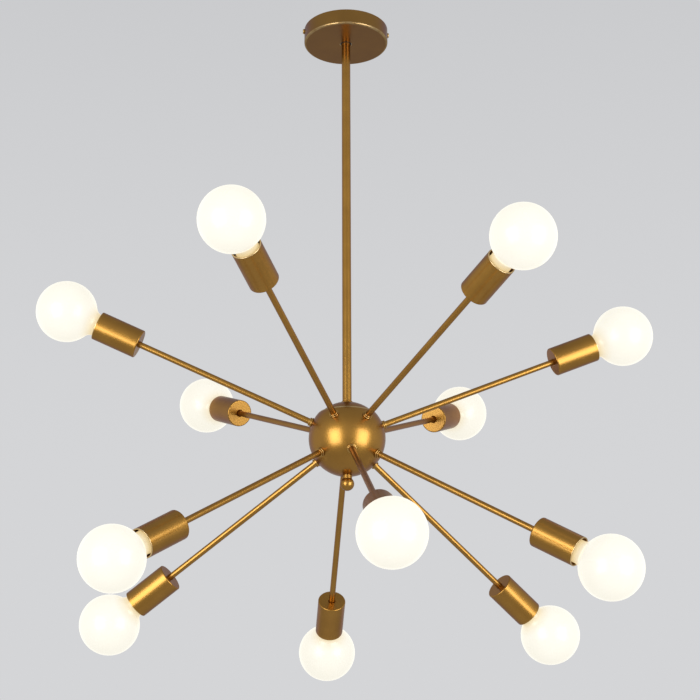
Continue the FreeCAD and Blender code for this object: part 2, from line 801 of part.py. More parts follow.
def cap_corners():
    """The threaded cap's half section: a plain skirt, then one ridge for each turn of the thread."""
    corners = [
        Corner("neck_end", "cap_inside"),
        Corner("neck_end", "cap_radius"),
        Corner("thread_start", "cap_radius"),
    ]
    for turn in range(THREAD_TURNS):
        ridge = "thread_start - %d * cap_pitch" % turn
        corners.append(Corner(ridge + " - thread_quarter", "cap_root"))
        corners.append(Corner(ridge + " - 2 * thread_quarter", "cap_root"))
        corners.append(Corner(ridge + " - 3 * thread_quarter", "cap_radius"))
    corners.append(Corner("thread_end", "cap_root"))
    corners.append(Corner("thread_end", "cap_inside"))
    return corners


def make_arms():
    """All twelve arms: tube, cup, lampholder and bulb. Returns the nodes in the order of the arms."""
    outlines = arm_outlines()
    nodes = []
    holders = []
    contacts = []
    for number in range(1, ARM_COUNT + 1):
        nodes.append(aim(turned("arm_tube_%02d" % number, outlines["arm_tube"]), number))
        nodes.append(aim(turned("lamp_cup_%02d" % number, outlines["lamp_cup"]), number))
        nodes.append(aim(turned("bulb_globe_%02d" % number, outlines["globe"]), number))
        base = []
        for name in ("cap", "insulator", "button"):
            base.append(aim(turned("bulb_%s_%02d" % (name, number), outlines[name]), number))
        nodes.append(group("bulb_base_%02d" % number, base))
        holders.append(aim(turned("holder_%02d" % number, outlines["holder"]), number))
        contacts.append(aim(turned("screw_shell_%02d" % number, outlines["screw_shell"]), number))
        contacts.append(aim(turned("contact_%02d" % number, outlines["contact"]), number))
    nodes.append(group("lampholder_bodies", holders))
    nodes.append(group("lampholder_contacts", contacts))
    return nodes


def check_document(nodes):
    """Stop on a failed feature or on a node without a sound solid."""
    failed = [thing.Name for thing in doc.Objects if "Invalid" in thing.State or "Error" in thing.State]
    if failed:
        raise ValueError("failed features: " + ", ".join(failed))
    for node in nodes:
        if node.Shape.isNull() or not node.Shape.isValid() or not node.Shape.Solids:
            raise ValueError("no sound solid in " + node.Label)


def main():
    """Build every node and write it."""
    fill_sheet()
    nodes = [
        make_canopy(), make_crossbar(), make_side_screws(), make_stem(), make_stem_fixings(),
        make_hub(), make_lid(), make_finial(), make_arm_nuts(), make_leads(),
    ]
    nodes += make_arms()
    doc.recompute()
    check_document(nodes)
    os.makedirs("parts", exist_ok=True)
    for node in nodes:
        node.Shape.exportStep("parts/%s.step" % node.Label)
    print("%d nodes, %d solids" % (len(nodes), sum(len(node.Shape.Solids) for node in nodes)))


main()
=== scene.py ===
"""Looks of a twelve-lamp sputnik chandelier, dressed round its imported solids.

Lengths are metres in the solids' own frame: +Z is up and the origin is the middle of the ceiling face.
A turned piece is drawn as a half section on its own axis: `along` runs on the axis and `out` away from it.
On an arm, `along` starts at the centre of the ball.
"""

import json
import logging
import math
from dataclasses import dataclass, field
from enum import Enum
from typing import Callable, Mapping, Optional, Sequence, Union

import bmesh
import bpy
import numpy as np
from mathutils import Matrix, Vector


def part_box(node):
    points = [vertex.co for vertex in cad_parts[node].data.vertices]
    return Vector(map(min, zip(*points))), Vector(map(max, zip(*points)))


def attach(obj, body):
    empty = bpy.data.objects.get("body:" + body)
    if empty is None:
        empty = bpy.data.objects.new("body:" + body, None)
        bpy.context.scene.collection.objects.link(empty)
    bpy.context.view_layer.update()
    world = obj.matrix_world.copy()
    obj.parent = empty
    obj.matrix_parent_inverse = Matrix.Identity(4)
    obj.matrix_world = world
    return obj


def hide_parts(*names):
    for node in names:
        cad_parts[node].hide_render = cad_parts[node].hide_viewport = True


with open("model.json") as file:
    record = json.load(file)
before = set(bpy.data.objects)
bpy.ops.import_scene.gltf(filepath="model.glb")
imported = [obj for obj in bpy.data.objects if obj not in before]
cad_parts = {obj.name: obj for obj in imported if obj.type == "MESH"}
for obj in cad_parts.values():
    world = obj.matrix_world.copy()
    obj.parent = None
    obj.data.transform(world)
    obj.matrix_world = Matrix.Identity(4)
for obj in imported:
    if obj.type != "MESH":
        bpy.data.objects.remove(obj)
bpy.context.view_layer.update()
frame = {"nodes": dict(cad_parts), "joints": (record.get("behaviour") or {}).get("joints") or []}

MM = 0.001
FULL_TURN = 2 * math.pi
HEX_SIDES = 6
TINY = 1e-7
FIXTURE = "fixture"

Colour = tuple[float, float, float]
Relief = Callable[[float, float, float], float]
Socket = Union[bpy.types.NodeSocket, "Signal", float, Sequence[float]]

log = logging.getLogger("sputnik_chandelier")


# ---------------------------------------------------------------- shader maths


class Signal:
    """A number that changes over a surface, with arithmetic: each operator adds its Math node."""

    def __init__(self, graph: "ShaderGraph", socket: bpy.types.NodeSocket) -> None:
        """Wrap one output socket of a graph."""
        self.graph = graph
        self.socket = socket

    def _math(self, operation: str, first: "Signal | float", second: "Signal | float") -> "Signal":
        """Add one Math node.

        Args:
            operation: the node's operation.
            first: what goes into its first socket.
            second: what goes into its second socket.

        Returns:
            The node's result.
        """
        node = self.graph.add("ShaderNodeMath", {"operation": operation}, {0: first, 1: second})
        return Signal(self.graph, node.outputs[0])

    def __add__(self, other: "Signal | float") -> "Signal":
        """This plus other."""
        return self._math("ADD", self, other)

    def __radd__(self, other: float) -> "Signal":
        """A number plus this."""
        return self._math("ADD", other, self)

    def __sub__(self, other: "Signal | float") -> "Signal":
        """This less other."""
        return self._math("SUBTRACT", self, other)

    def __rsub__(self, other: float) -> "Signal":
        """A number less this."""
        return self._math("SUBTRACT", other, self)

    def __mul__(self, other: "Signal | float") -> "Signal":
        """This times other."""
        return self._math("MULTIPLY", self, other)

    def __rmul__(self, other: float) -> "Signal":
        """A number times this."""
        return self._math("MULTIPLY", other, self)

    def ramped(self, low: float, high: float) -> "Signal":
        """A smooth step.

        Args:
            low: where the result is 0.
            high: where the result is 1.

        Returns:
            The step, kept between 0 and 1.
        """
        node = self.graph.add(
            "ShaderNodeMapRange", {"interpolation_type": "SMOOTHSTEP"},
            {"Value": self, "From Min": low, "From Max": high})
        return Signal(self.graph, node.outputs[0])


class ShaderGraph:
    """The node tree of one finish, or of the studio's surroundings."""

    def __init__(self, tree: bpy.types.NodeTree) -> None:
        """Start from an empty tree."""
        self.tree = tree
        tree.nodes.clear()

    def add(self, kind: str, settings: Optional[Mapping[str, object]] = None,
            sockets: Optional[Mapping[Union[str, int], Socket]] = None) -> bpy.types.Node:
        """Add any node.

        Args:
            kind: the node's type.
            settings: its own settings, set before its sockets.
            sockets: a value or a link for each of its inputs, by name or place.

        Returns:
            The node.
        """
        node = self.tree.nodes.new(kind)
        for name, value in (settings or {}).items():
            setattr(node, name, value)
        for name, value in (sockets or {}).items():
            source = value.socket if isinstance(value, Signal) else value
            if isinstance(source, bpy.types.NodeSocket):
                self.tree.links.new(source, node.inputs[name])
            else:
                node.inputs[name].default_value = source
        return node

    def reading(self, name: str) -> bpy.types.Node:
        """The node that reads what a piece's mesh keeps under a name."""
        return self.add("ShaderNodeAttribute", {"attribute_type": "GEOMETRY", "attribute_name": name})

    def share(self, name: str) -> Signal:
        """A number kept by a piece's mesh."""
        return Signal(self, self.reading(name).outputs["Fac"])

    def own_place(self) -> bpy.types.NodeSocket:
        """Where a point lies on its own piece."""
        return self.add("ShaderNodeTexCoord").outputs["Object"]

    def stretched(self, place: bpy.types.NodeSocket, factors: Sequence[float]) -> bpy.types.NodeSocket:
        """A place with each of its three numbers multiplied."""
        node = self.add("ShaderNodeVectorMath", {"operation": "MULTIPLY"}, {0: place, 1: tuple(factors)})
        return node.outputs["Vector"]

    def noise(self, place: bpy.types.NodeSocket, scale: float, detail: float = 2.0) -> Signal:
        """Cloudy noise from 0 to 1.

        Args:
            place: where it is read.
            scale: clouds in each unit of that place.
            detail: how many finer layers it has.

        Returns:
            The noise, around 0.5.
        """
        node = self.add("ShaderNodeTexNoise", None, {"Vector": place, "Scale": scale, "Detail": detail})
        return Signal(self, node.outputs["Fac"])

    def specks(self, place: bpy.types.NodeSocket, scale: float, size: float) -> Signal:
        """Round specks, 1 at the middle of each and 0 outside.

        Args:
            place: where they are read.
            scale: cells in each unit of that place.
            size: a speck's radius as a share of its cell.

        Returns:
            The specks.
        """
        node = self.add("ShaderNodeTexVoronoi", {"feature": "F1"}, {"Vector": place, "Scale": scale})
        return 1 - Signal(self, node.outputs["Distance"]).ramped(size * 0.5, size)

    def tinted(self, share: "Signal | float", first: Socket, second: Socket) -> bpy.types.NodeSocket:
        """A mix of two colours.

        Args:
            share: how much of the second colour shows.
            first: the colour at 0.
            second: the colour at 1.

        Returns:
            The mixed colour.
        """
        settings = {"data_type": "RGBA", "clamp_factor": True}
        colours = [(*c, 1.0) if isinstance(c, tuple) else c for c in (first, second)]
        node = self.add("ShaderNodeMix", settings, {0: share, 6: colours[0], 7: colours[1]})
        return node.outputs[2]

    def bumped(self, height: Signal, distance: float) -> bpy.types.NodeSocket:
        """A surface direction raised by a height from 0 to 1 over a distance."""
        node = self.add("ShaderNodeBump", None, {"Height": height, "Distance": distance, "Strength": 1.0})
        return node.outputs["Normal"]

    def straight_rays(self) -> Signal:
        """Tell what is seen from what only lights other things.

        It is 1 on what is seen, mirrored or seen through glass, and 0 on the rest.

        Returns:
            The mask.
        """
        rays = self.add("ShaderNodeLightPath").outputs
        seen = Signal(self, rays["Is Camera Ray"]) + Signal(self, rays["Is Glossy Ray"])
        return seen + Signal(self, rays["Is Transmission Ray"])

    def surface(self, **sockets: Socket) -> None:
        """Finish the tree with one Principled surface.

        Args:
            sockets: a value or a link for each input, with underscores for the spaces in its name.
        """
        named = {name.replace("_", " "): value for name, value in sockets.items()}
        shader = self.add("ShaderNodeBsdfPrincipled", None, named)
        self.add("ShaderNodeOutputMaterial", None, {"Surface": shader.outputs[0]})


def finish_graph(name: str) -> tuple[bpy.types.Material, ShaderGraph]:
    """Start a finish.

    Args:
        name: the material's name.

    Returns:
        A new material and its empty graph.
    """
    material = bpy.data.materials.new(name)
    material.use_nodes = True
    return material, ShaderGraph(material.node_tree)


# ---------------------------------------------------------------- finishes


class Grain(Enum):
    """Which way the last tool ran over a metal piece."""

    SPUN = "rings round the axis"
    DRAWN = "lines along the axis"


@dataclass(frozen=True)
class SatinBrass:
    """Brushed brass under a thin clear lacquer, darker in clouds and paler at its edges, from rubbing and
    from painted highlight.
    """

    name: str
    grain: Grain
    radius: float
    deep: Colour = (0.305, 0.138, 0.008)
    bright: Colour = (0.455, 0.230, 0.026)
    # The pale edge colour: rubbing, and painted highlight where edges catch the light.
    edge_wear_and_highlight: Colour = (0.82, 0.64, 0.35)
    # The share of the pale edge colour laid evenly as painted highlight; the rest comes and goes in patches,
    # as rubbing.
    steady_edge_highlight: float = 0.45
    edge_tint: Colour = (0.34, 0.23, 0.10)
    roughness: float = 0.30
    grain_share: float = 0.15
    line: float = 0.22 * MM
    streak: float = 40 * MM
    cloud_size: float = 30 * MM
    groove: float = 0.0005 * MM

    def _grain_signal(self, graph: ShaderGraph) -> Signal:
        """The tool's fine lines.

        Args:
            graph: the finish's graph.

        Returns:
            The lines, from 0 to 1.
        """
        turned = graph.reading("turned").outputs["Vector"]
        if self.grain is Grain.SPUN:
            across = self.radius / self.streak
            factors = (across, across, 1 / self.line)
        else:
            across = self.radius / self.line
            factors = (across, across, 1 / self.streak)
        return graph.noise(graph.stretched(turned, factors), 1.0, 1.5)

    def material(self) -> bpy.types.Material:
        """Build the finish.

        Returns:
            The material.
        """
        material, graph = finish_graph(self.name)
        grain = self._grain_signal(graph)
        place = graph.own_place()
        clouds = graph.noise(place, 1 / self.cloud_size, 3.0)
        rubs = graph.noise(place, 4 / self.cloud_size, 2.0)
        # Edges are painted paler: part evenly, as painted highlight, and part in patches, as rubbing.
        edge = graph.share("edge") * (self.steady_edge_highlight + rubs.ramped(0.3, 0.7) * (1 - self.steady_edge_highlight))
        tone = clouds * (1 - self.grain_share) + grain * self.grain_share
        colour = graph.tinted(edge * 0.85, graph.tinted(tone, self.deep, self.bright), self.edge_wear_and_highlight)
        roughness = self.roughness - 0.05 + clouds * 0.06 + grain * 0.06 - edge * 0.05
        graph.surface(
            Base_Color=colour, Metallic=1.0, Roughness=roughness, Normal=graph.bumped(grain, self.groove),
            Specular_Tint=(*self.edge_tint, 1.0), Coat_Weight=0.6, Coat_Roughness=0.25, Coat_IOR=1.55)
        return material


@dataclass(frozen=True)
class OpalGlass:
    """Lit opal glass: milky white, creamier towards the neck, with a faint cloud in its thickness."""

    name: str = "opal_glass"
    globe: Colour = (0.27, 0.268, 0.262)
    neck: Colour = (0.26, 0.22, 0.14)
    glow: Colour = (1.0, 0.968, 0.84)
    neck_glow: Colour = (0.86, 0.66, 0.33)
    glow_strength: float = 0.79
    neck_share: tuple[float, float] = (0.09, 0.30)

    def material(self) -> bpy.types.Material:
        """Build the finish.

        Returns:
            The material.
        """
        material, graph = finish_graph(self.name)
        place = graph.own_place()
        milk = graph.noise(place, 45.0, 3.0)
        waves = graph.noise(place, 18.0, 1.0)
        body = graph.share("reach").ramped(*self.neck_share)
        cloudy = graph.tinted(milk * 0.1, self.glow, self.neck_glow)
        graph.surface(
            Base_Color=graph.tinted(body, self.neck, self.globe),
            Emission_Color=graph.tinted(body, self.neck_glow, cloudy),
            Emission_Strength=self.glow_strength, Roughness=0.24 + milk * 0.08, IOR=1.5,
            Normal=graph.bumped(waves, 0.06 * MM))
        return material


@dataclass(frozen=True)
class CapMetal:
    """The bulb's rolled aluminium screw cap, darker in its roots and paler on its crests: painted shade in
    the roots, painted highlight and rubbing on the crests.
    """

    name: str = "cap_metal"
    root: Colour = (0.36, 0.35, 0.33)
    crest: Colour = (0.74, 0.73, 0.70)

    def material(self) -> bpy.types.Material:
        """Build the finish.

        Returns:
            The material.
        """
        material, graph = finish_graph(self.name)
        place = graph.own_place()
        smudge = graph.noise(place, 160.0, 4.0)
        # Crests painted paler and roots darker: painted highlight and painted shade, with rubbing on the
        # crests.
        crest = graph.share("edge").ramped(0.2, 0.9)
        graph.surface(
            Base_Color=graph.tinted(crest * 0.7 + smudge * 0.3, self.root, self.crest), Metallic=1.0,
            Roughness=0.46 - crest * 0.16 + smudge * 0.1, Normal=graph.bumped(smudge, 0.01 * MM))
        return material


@dataclass(frozen=True)
class BlackGlass:
    """The cast black glass between the cap and its button."""

    name: str = "cap_insulator"
    colour: Colour = (0.012, 0.011, 0.014)
    bloom: Colour = (0.05, 0.045, 0.05)

    def material(self) -> bpy.types.Material:
        """Build the finish.

        Returns:
            The material.
        """
        material, graph = finish_graph(self.name)
        ripples = graph.noise(graph.own_place(), 240.0, 3.0)
        graph.surface(
            Base_Color=graph.tinted(ripples.ramped(0.5, 0.8), self.colour, self.bloom),
            Roughness=0.12 + ripples * 0.2, Normal=graph.bumped(ripples, 0.05 * MM))
        return material


@dataclass(frozen=True)
class ZincSteel:
    """Zinc-plated steel with its mottled crystals and fine scuffs."""

    name: str = "zinc_steel"
    dark: Colour = (0.34, 0.35, 0.37)
    light: Colour = (0.60, 0.61, 0.62)

    def material(self) -> bpy.types.Material:
        """Build the finish.

        Returns:
            The material.
        """
        material, graph = finish_graph(self.name)
        place = graph.own_place()
        crystals = graph.add("ShaderNodeTexVoronoi", {"feature": "F1"}, {"Vector": place, "Scale": 260.0})
        mottle = Signal(graph, crystals.outputs["Color"])
        scuffs = graph.noise(graph.stretched(place, (900.0, 90.0, 900.0)), 1.0, 3.0)
        graph.surface(
            Base_Color=graph.tinted(mottle * 0.6 + scuffs * 0.4, self.dark, self.light), Metallic=1.0,
            Roughness=0.30 + mottle * 0.12 + scuffs * 0.1, Normal=graph.bumped(scuffs, 0.008 * MM))
        return material


@dataclass(frozen=True)
class Porcelain:
    """Glazed white porcelain with a slightly wavy glaze and a few kiln specks."""

    name: str = "porcelain"
    glaze: Colour = (0.80, 0.78, 0.72)
    warm: Colour = (0.70, 0.66, 0.57)
    speck: Colour = (0.20, 0.16, 0.12)

    def material(self) -> bpy.types.Material:
        """Build the finish.

        Returns:
            The material.
        """
        material, graph = finish_graph(self.name)
        place = graph.own_place()
        pool = graph.noise(place, 70.0, 2.0)
        marks = graph.specks(place, 210.0, 0.09)
        body = graph.tinted(pool.ramped(0.35, 0.75), self.glaze, self.warm)
        graph.surface(
            Base_Color=graph.tinted(marks * 0.6, body, self.speck), Roughness=0.14 + pool * 0.12,
            IOR=1.5, Normal=graph.bumped(pool, 0.12 * MM))
        return material


@dataclass(frozen=True)
class ContactBrass:
    """Pressed bare brass, dulled in patches, for what carries the current."""

    name: str = "contact_brass"
    dull: Colour = (0.42, 0.27, 0.09)
    clean: Colour = (0.78, 0.56, 0.24)

    def material(self) -> bpy.types.Material:
        """Build the finish.

        Returns:
            The material.
        """
        material, graph = finish_graph(self.name)
        place = graph.own_place()
        patches = graph.noise(place, 190.0, 4.0)
        lines = graph.noise(graph.stretched(place, (60.0, 60.0, 1400.0)), 1.0, 2.0)
        graph.surface(
            Base_Color=graph.tinted(patches.ramped(0.35, 0.65), self.dull, self.clean), Metallic=1.0,
            Roughness=0.26 + patches * 0.16, Normal=graph.bumped(lines, 0.006 * MM))
        return material


@dataclass(frozen=True)
class WireSleeve:
    """The soft plastic sleeve of a lamp wire."""

    name: str
    colour: Colour
    chalk: Colour

    def material(self) -> bpy.types.Material:
        """Build the finish.

        Returns:
            The material.
        """
        material, graph = finish_graph(self.name)
        place = graph.own_place()
        scuff = graph.noise(place, 420.0, 3.0)
        graph.surface(
            Base_Color=graph.tinted(scuff.ramped(0.45, 0.8) * 0.6, self.colour, self.chalk),
            Roughness=0.42 + scuff * 0.16, Normal=graph.bumped(scuff, 0.02 * MM))
        return material


@dataclass(frozen=True)
class PaleFloor:
    """The studio's matt floor, pale to the eye though little light reaches it."""

    name: str = "pale_floor"
    colour: Colour = (0.72, 0.72, 0.73)
    cloud: Colour = (0.67, 0.67, 0.68)
    unlit: Colour = (0.0, 0.0, 0.0)
    lift: Colour = (0.30, 0.302, 0.31)

    def material(self) -> bpy.types.Material:
        """Build the finish.

        Returns:
            The material.
        """
        material, graph = finish_graph(self.name)
        clouds = graph.noise(graph.own_place(), 1.6, 2.0)
        graph.surface(
            Base_Color=graph.tinted(clouds, self.colour, self.cloud), Roughness=0.75 + clouds * 0.1,
            Emission_Color=graph.tinted(graph.straight_rays(), self.unlit, self.lift), Emission_Strength=1.0)
        return material


# ---------------------------------------------------------------- drawing turned pieces


@dataclass(frozen=True)
class Station:
    """One ring of a turned piece."""

    along: float
    out: float
    edge: float = 0.0
    carved: bool = False


@dataclass(frozen=True)
class _Corner:
    """One corner of an outline before it is rounded."""

    along: float
    out: float
    round: float
    carved: bool
    edge: float


class Outline:
    """The half section of a turned piece, drawn corner by corner.

    An outline that starts and ends on the axis stays open. Any other is closed and gives a hollow piece.
    """

    HOLD = 0.12 * MM
    ARC_STEP = math.radians(11)

    def __init__(self) -> None:
        """Start with no corners."""
        self._corners: list[_Corner] = []

    def corner(self, along: float, out: float, round: float = 0.0, carved: bool = False,
               edge: float = 0.0) -> "Outline":
        """Go straight to a corner.

        Args:
            along: where it is along the axis.
            out: its radius.
            round: the radius that it is rounded to, if any.
            carved: whether a relief may sink it.
            edge: how pale its finish is painted there, from 0 to 1, for rubbing and painted highlight, where
                it isn't rounded.

        Returns:
            The outline itself.
        """
        self._corners.append(_Corner(along, out, round, carved, edge))
        return self

    def arc(self, centre: tuple[float, float], radius: float, start: float, end: float,
            step: float = math.radians(4), edge: float = 0.0) -> "Outline":
        """Follow a large arc.

        Args:
            centre: its centre, as (along, out).
            radius: its radius.
            start: the angle that it starts at, from the axis, in radians.
            end: the angle that it ends at.
            step: about how far apart its rings lie, in radians.
            edge: how pale its finish is painted there, from 0 to 1, for rubbing and painted highlight.

        Returns:
            The outline itself.
        """
        count = max(2, math.ceil(abs(end - start) / step))
        for index in range(count + 1):
            angle = start + (end - start) * index / count
            along = centre[0] + radius * math.cos(angle)
            out = max(0.0, centre[1] + radius * math.sin(angle))
            self.corner(along, 0.0 if out < TINY else out, edge=edge)
        return self

    def carved_run(self, start: float, end: float, out: float, rings: int) -> "Outline":
        """Run straight along the axis with many rings, which a relief may raise or sink.

        Args:
            start: where the run begins along the axis.
            end: where it ends.
            out: its radius.
            rings: how many steps it has.

        Returns:
            The outline itself.
        """
        for index in range(rings + 1):
            self.corner(start + (end - start) * index / rings, out, carved=True)
        return self

    @property
    def is_open(self) -> bool:
        """Whether the outline starts and ends on the axis."""
        return self._corners[0].out < TINY and self._corners[-1].out < TINY

    def _rounded(self, before: _Corner, here: _Corner, after: _Corner) -> list[Station]:
        """Round one corner.

        Args:
            before: the corner before it.
            here: the corner.
            after: the corner after it.

        Returns:
            Its rings, with one close by on each side to keep the flats flat.
        """
        place = Vector((here.along, here.out))
        back = Vector((before.along, before.out)) - place
        ahead = Vector((after.along, after.out)) - place
        between = back.angle(ahead)
        reach = here.round / math.tan(between / 2)
        back.normalize()
        ahead.normalize()
        centre = place + (back + ahead).normalized() * (here.round / math.sin(between / 2))
        first = place + back * reach - centre
        turn = math.pi - between
        side = 1 if first.x * ahead.y - first.y * ahead.x > 0 else -1
        steps = max(3, math.ceil(turn / self.ARC_STEP))
        rings = [Station(*(place + back * (reach + self.HOLD)))]
        for index in range(steps + 1):
            angle = side * turn * index / steps
            spun = Vector((first.x * math.cos(angle) - first.y * math.sin(angle),
                           first.x * math.sin(angle) + first.y * math.cos(angle)))
            # Every rounded corner is painted pale: rubbing and painted highlight.
            rings.append(Station(*(centre + spun), edge=1.0))
        rings.append(Station(*(place + ahead * (reach + self.HOLD))))
        return rings

    def stations(self) -> list[Station]:
        """Work out every ring of the piece.

        Returns:
            The rings, in order.
        """
        rings: list[Station] = []
        count = len(self._corners)
        for index, here in enumerate(self._corners):
            if here.round > 0:
                rings += self._rounded(self._corners[index - 1], here, self._corners[(index + 1) % count])
            else:
                rings.append(Station(here.along, here.out, here.edge, here.carved))
        return rings


@dataclass(frozen=True)
class Span:
    """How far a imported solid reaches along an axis, and its widest radius about it."""

    start: float
    end: float
    radius: float


@dataclass(frozen=True)
class Axis:
    """A line that turned pieces are drawn on."""

    origin: Vector
    direction: Vector

    @property
    def side(self) -> Vector:
        """The level direction across the axis."""
        level = Vector((0, 0, 1)).cross(self.direction)
        return level.normalized() if level.length > TINY else Vector((1, 0, 0))

    @property
    def rise(self) -> Vector:
        """The direction across both the axis and its side."""
        return self.direction.cross(self.side)

    def at(self, along: float) -> Vector:
        """The point of the axis that far along it."""
        return self.origin + self.direction * along

    def beside(self, offset: float) -> "Axis":
        """The parallel axis that far to the side."""
        return Axis(self.origin + self.side * offset, self.direction)

    def span(self, node: str, within: float = 1.0) -> Span:
        """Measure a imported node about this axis.

        Args:
            node: the node's name.
            within: only points this near to the axis, and ahead of its origin, count where under 1.

        Returns:
            How far it reaches.
        """
        mesh = frame["nodes"][node].data
        points = np.empty(len(mesh.vertices) * 3)
        mesh.vertices.foreach_get("co", points)
        offsets = points.reshape(-1, 3) - np.array(self.origin)
        along = offsets @ np.array(self.direction)
        out = np.linalg.norm(offsets - along[:, None] * np.array(self.direction), axis=1)
        near = (out < within) & ((along > 0) | (within >= 1.0))
        return Span(float(along[near].min()), float(along[near].max()), float(out[near].max()))


class Draft:
    """The points and faces of one piece, with what its finish reads at each."""

    SHARP = math.radians(27)
    PALE_EDGE_DEPTH = 0.8 * MM

    def __init__(self) -> None:
        """Start empty."""
        self._points: list[Vector] = []
        self._readings: list[tuple[float, float, float, float, float]] = []
        self._faces: list[tuple[int, ...]] = []
        self._slots: list[int] = []

    def _ring(self, axis: Axis, station: Station, run: float, share: float, segments: int,
              relief: Optional[Relief]) -> list[int]:
        """Add one ring of points.

        Args:
            axis: the piece's axis.
            station: where the ring lies.
            run: how far along the outline it is.
            share: how far along the piece it is, from 0 to 1.
            segments: how many points it has.
            relief: gives the radius where the ring is carved.

        Returns:
            The numbers of its points. A ring on the axis has one.
        """
        side, rise, middle = axis.side, axis.rise, axis.at(station.along)
        first = len(self._points)
        if station.out < TINY:
            self._points.append(middle)
            self._readings.append((0.0, 0.0, run, station.edge, share))
            return [first]
        for index in range(segments):
            turn = FULL_TURN * index / segments
            out, edge = station.out, station.edge
            if relief and station.carved:
                out = relief(turn, station.along, station.out)
                # Carved points are painted paler the nearer they lie to the crest or corner: painted
                # highlight, with rubbing.
                edge = max(edge, 1 - (station.out - out) / self.PALE_EDGE_DEPTH)
            self._points.append(middle + (side * math.cos(turn) + rise * math.sin(turn)) * out)
            self._readings.append((math.cos(turn), math.sin(turn), run, edge, share))
        return list(range(first, first + segments))

    def turn(self, axis: Axis, outline: Outline, segments: int, relief: Optional[Relief] = None,
             slot: int = 0) -> "Draft":
        """Turn an outline round an axis.

        Args:
            axis: the axis.
            outline: the half section.
            segments: how many flats the round has.
            relief: the radius at a turn, a place along the axis and the plain radius, for carved rings.
            slot: which of the piece's finishes it takes.

        Returns:
            The draft itself.
        """
        stations = outline.stations()
        low = min(station.along for station in stations)
        high = max(station.along for station in stations)
        rings: list[list[int]] = []
        run = 0.0
        for index, station in enumerate(stations):
            if index:
                last = stations[index - 1]
                run += math.hypot(station.along - last.along, station.out - last.out)
            share = (station.along - low) / max(high - low, TINY)
            rings.append(self._ring(axis, station, run, share, segments, relief))
        pairs = list(zip(rings, rings[1:]))
        if not outline.is_open:
            pairs.append((rings[-1], rings[0]))
        for ring, following in pairs:
            self._band(ring, following, segments, slot)
        return self

    def _band(self, ring: list[int], following: list[int], segments: int, slot: int) -> None:
        """Join two rings with faces, or a ring and a point of the axis.

        Args:
            ring: the points of the first ring.
            following: the points of the next.
            segments: how many flats the round has.
            slot: which of the piece's finishes the faces take.
        """
        for index in range(segments):
            after = (index + 1) % segments
            corners = [ring[index % len(ring)], ring[after % len(ring)],
                       following[after % len(following)], following[index % len(following)]]
            distinct = tuple(dict.fromkeys(corners))
            if len(distinct) > 2:
                self._faces.append(distinct)
                self._slots.append(slot)

    def piece(self, name: str, *finishes: bpy.types.Material) -> bpy.types.Object:
        """Make the object.

        Args:
            name: its name.
            finishes: its materials, in the order of the slots used.

        Returns:
            The object, with smooth faces and sharp creases.
        """
        mesh = bpy.data.meshes.new(name)
        mesh.from_pydata(self._points, [], self._faces)
        for finish in finishes:
            mesh.materials.append(finish)
        mesh.polygons.foreach_set("material_index", self._slots)
        self._keep_readings(mesh)
        shaped = bmesh.new()
        shaped.from_mesh(mesh)
        bmesh.ops.recalc_face_normals(shaped, faces=shaped.faces)
        for face in shaped.faces:
            face.smooth = True
        crease_edges(shaped, self.SHARP)
        shaped.to_mesh(mesh)
        shaped.free()
        made = bpy.data.objects.new(name, mesh)
        bpy.context.scene.collection.objects.link(made)
        return made

    def _keep_readings(self, mesh: bpy.types.Mesh) -> None:
        """Keep on every face corner where it lies on the turned piece, and how near an edge.

        Args:
            mesh: the piece's mesh.
        """
        readings = np.array(self._readings)
        corner_points = np.empty(len(mesh.loops), int)
        mesh.loops.foreach_get("vertex_index", corner_points)
        at_corners = readings[corner_points]
        turned = mesh.attributes.new("turned", "FLOAT_VECTOR", "CORNER")
        turned.data.foreach_set("vector", at_corners[:, :3].astype(np.float32).ravel())
        for column, label in ((3, "edge"), (4, "reach")):
            kept = mesh.attributes.new(label, "FLOAT", "CORNER")
            kept.data.foreach_set("value", at_corners[:, column].astype(np.float32))


def crease_edges(shaped: bmesh.types.BMesh, limit: float) -> None:
    """Mark as sharp every edge where two faces meet at more than the limit."""
    for edge in shaped.edges:
        edge.smooth = not edge.is_manifold or edge.calc_face_angle(0.0) < limit


def carve(piece: bpy.types.Object, cutter: bpy.types.Object) -> bpy.types.Object:
    """Cut one solid out of a piece.

    Args:
        piece: the piece that is cut.
        cutter: the solid, which is deleted.

    Returns:
        The piece.
    """
    boolean = piece.modifiers.new("carve", "BOOLEAN")
    boolean.operation = "DIFFERENCE"
    boolean.solver = "EXACT"
    boolean.object = cutter
    bpy.context.view_layer.update()
    evaluated = piece.evaluated_get(bpy.context.evaluated_depsgraph_get())
    cut_mesh = bpy.data.meshes.new_from_object(evaluated)
    piece.modifiers.clear()
    piece.data = cut_mesh
    shaped = bmesh.new()
    shaped.from_mesh(cut_mesh)
    crease_edges(shaped, Draft.SHARP)
    shaped.to_mesh(cut_mesh)
    shaped.free()
    bpy.data.objects.remove(cutter)
    return piece


def rod_cutter(axes: Sequence[Axis], start: float, end: float, radius: float) -> bpy.types.Object:
    """Plain rods for carving.

    Args:
        axes: the rods' axes.
        start: where each begins along its axis.
        end: where it ends.
        radius: their radius.

    Returns:
        The rods as one solid.
    """
    draft = Draft()
    for axis in axes:
        rod = Outline().corner(start, 0).corner(start, radius).corner(end, radius).corner(end, 0)
        draft.turn(axis, rod, segments=32)
    return draft.piece("cutter")


def sleeve(start: float, end: float, outer: float, inner: float, round: float = 0.0) -> Outline:
    """The outline of a plain tube or ring, with its outer corners rounded."""
    return (Outline().corner(start, inner).corner(end, inner)
            .corner(end, outer, round).corner(start, outer, round))


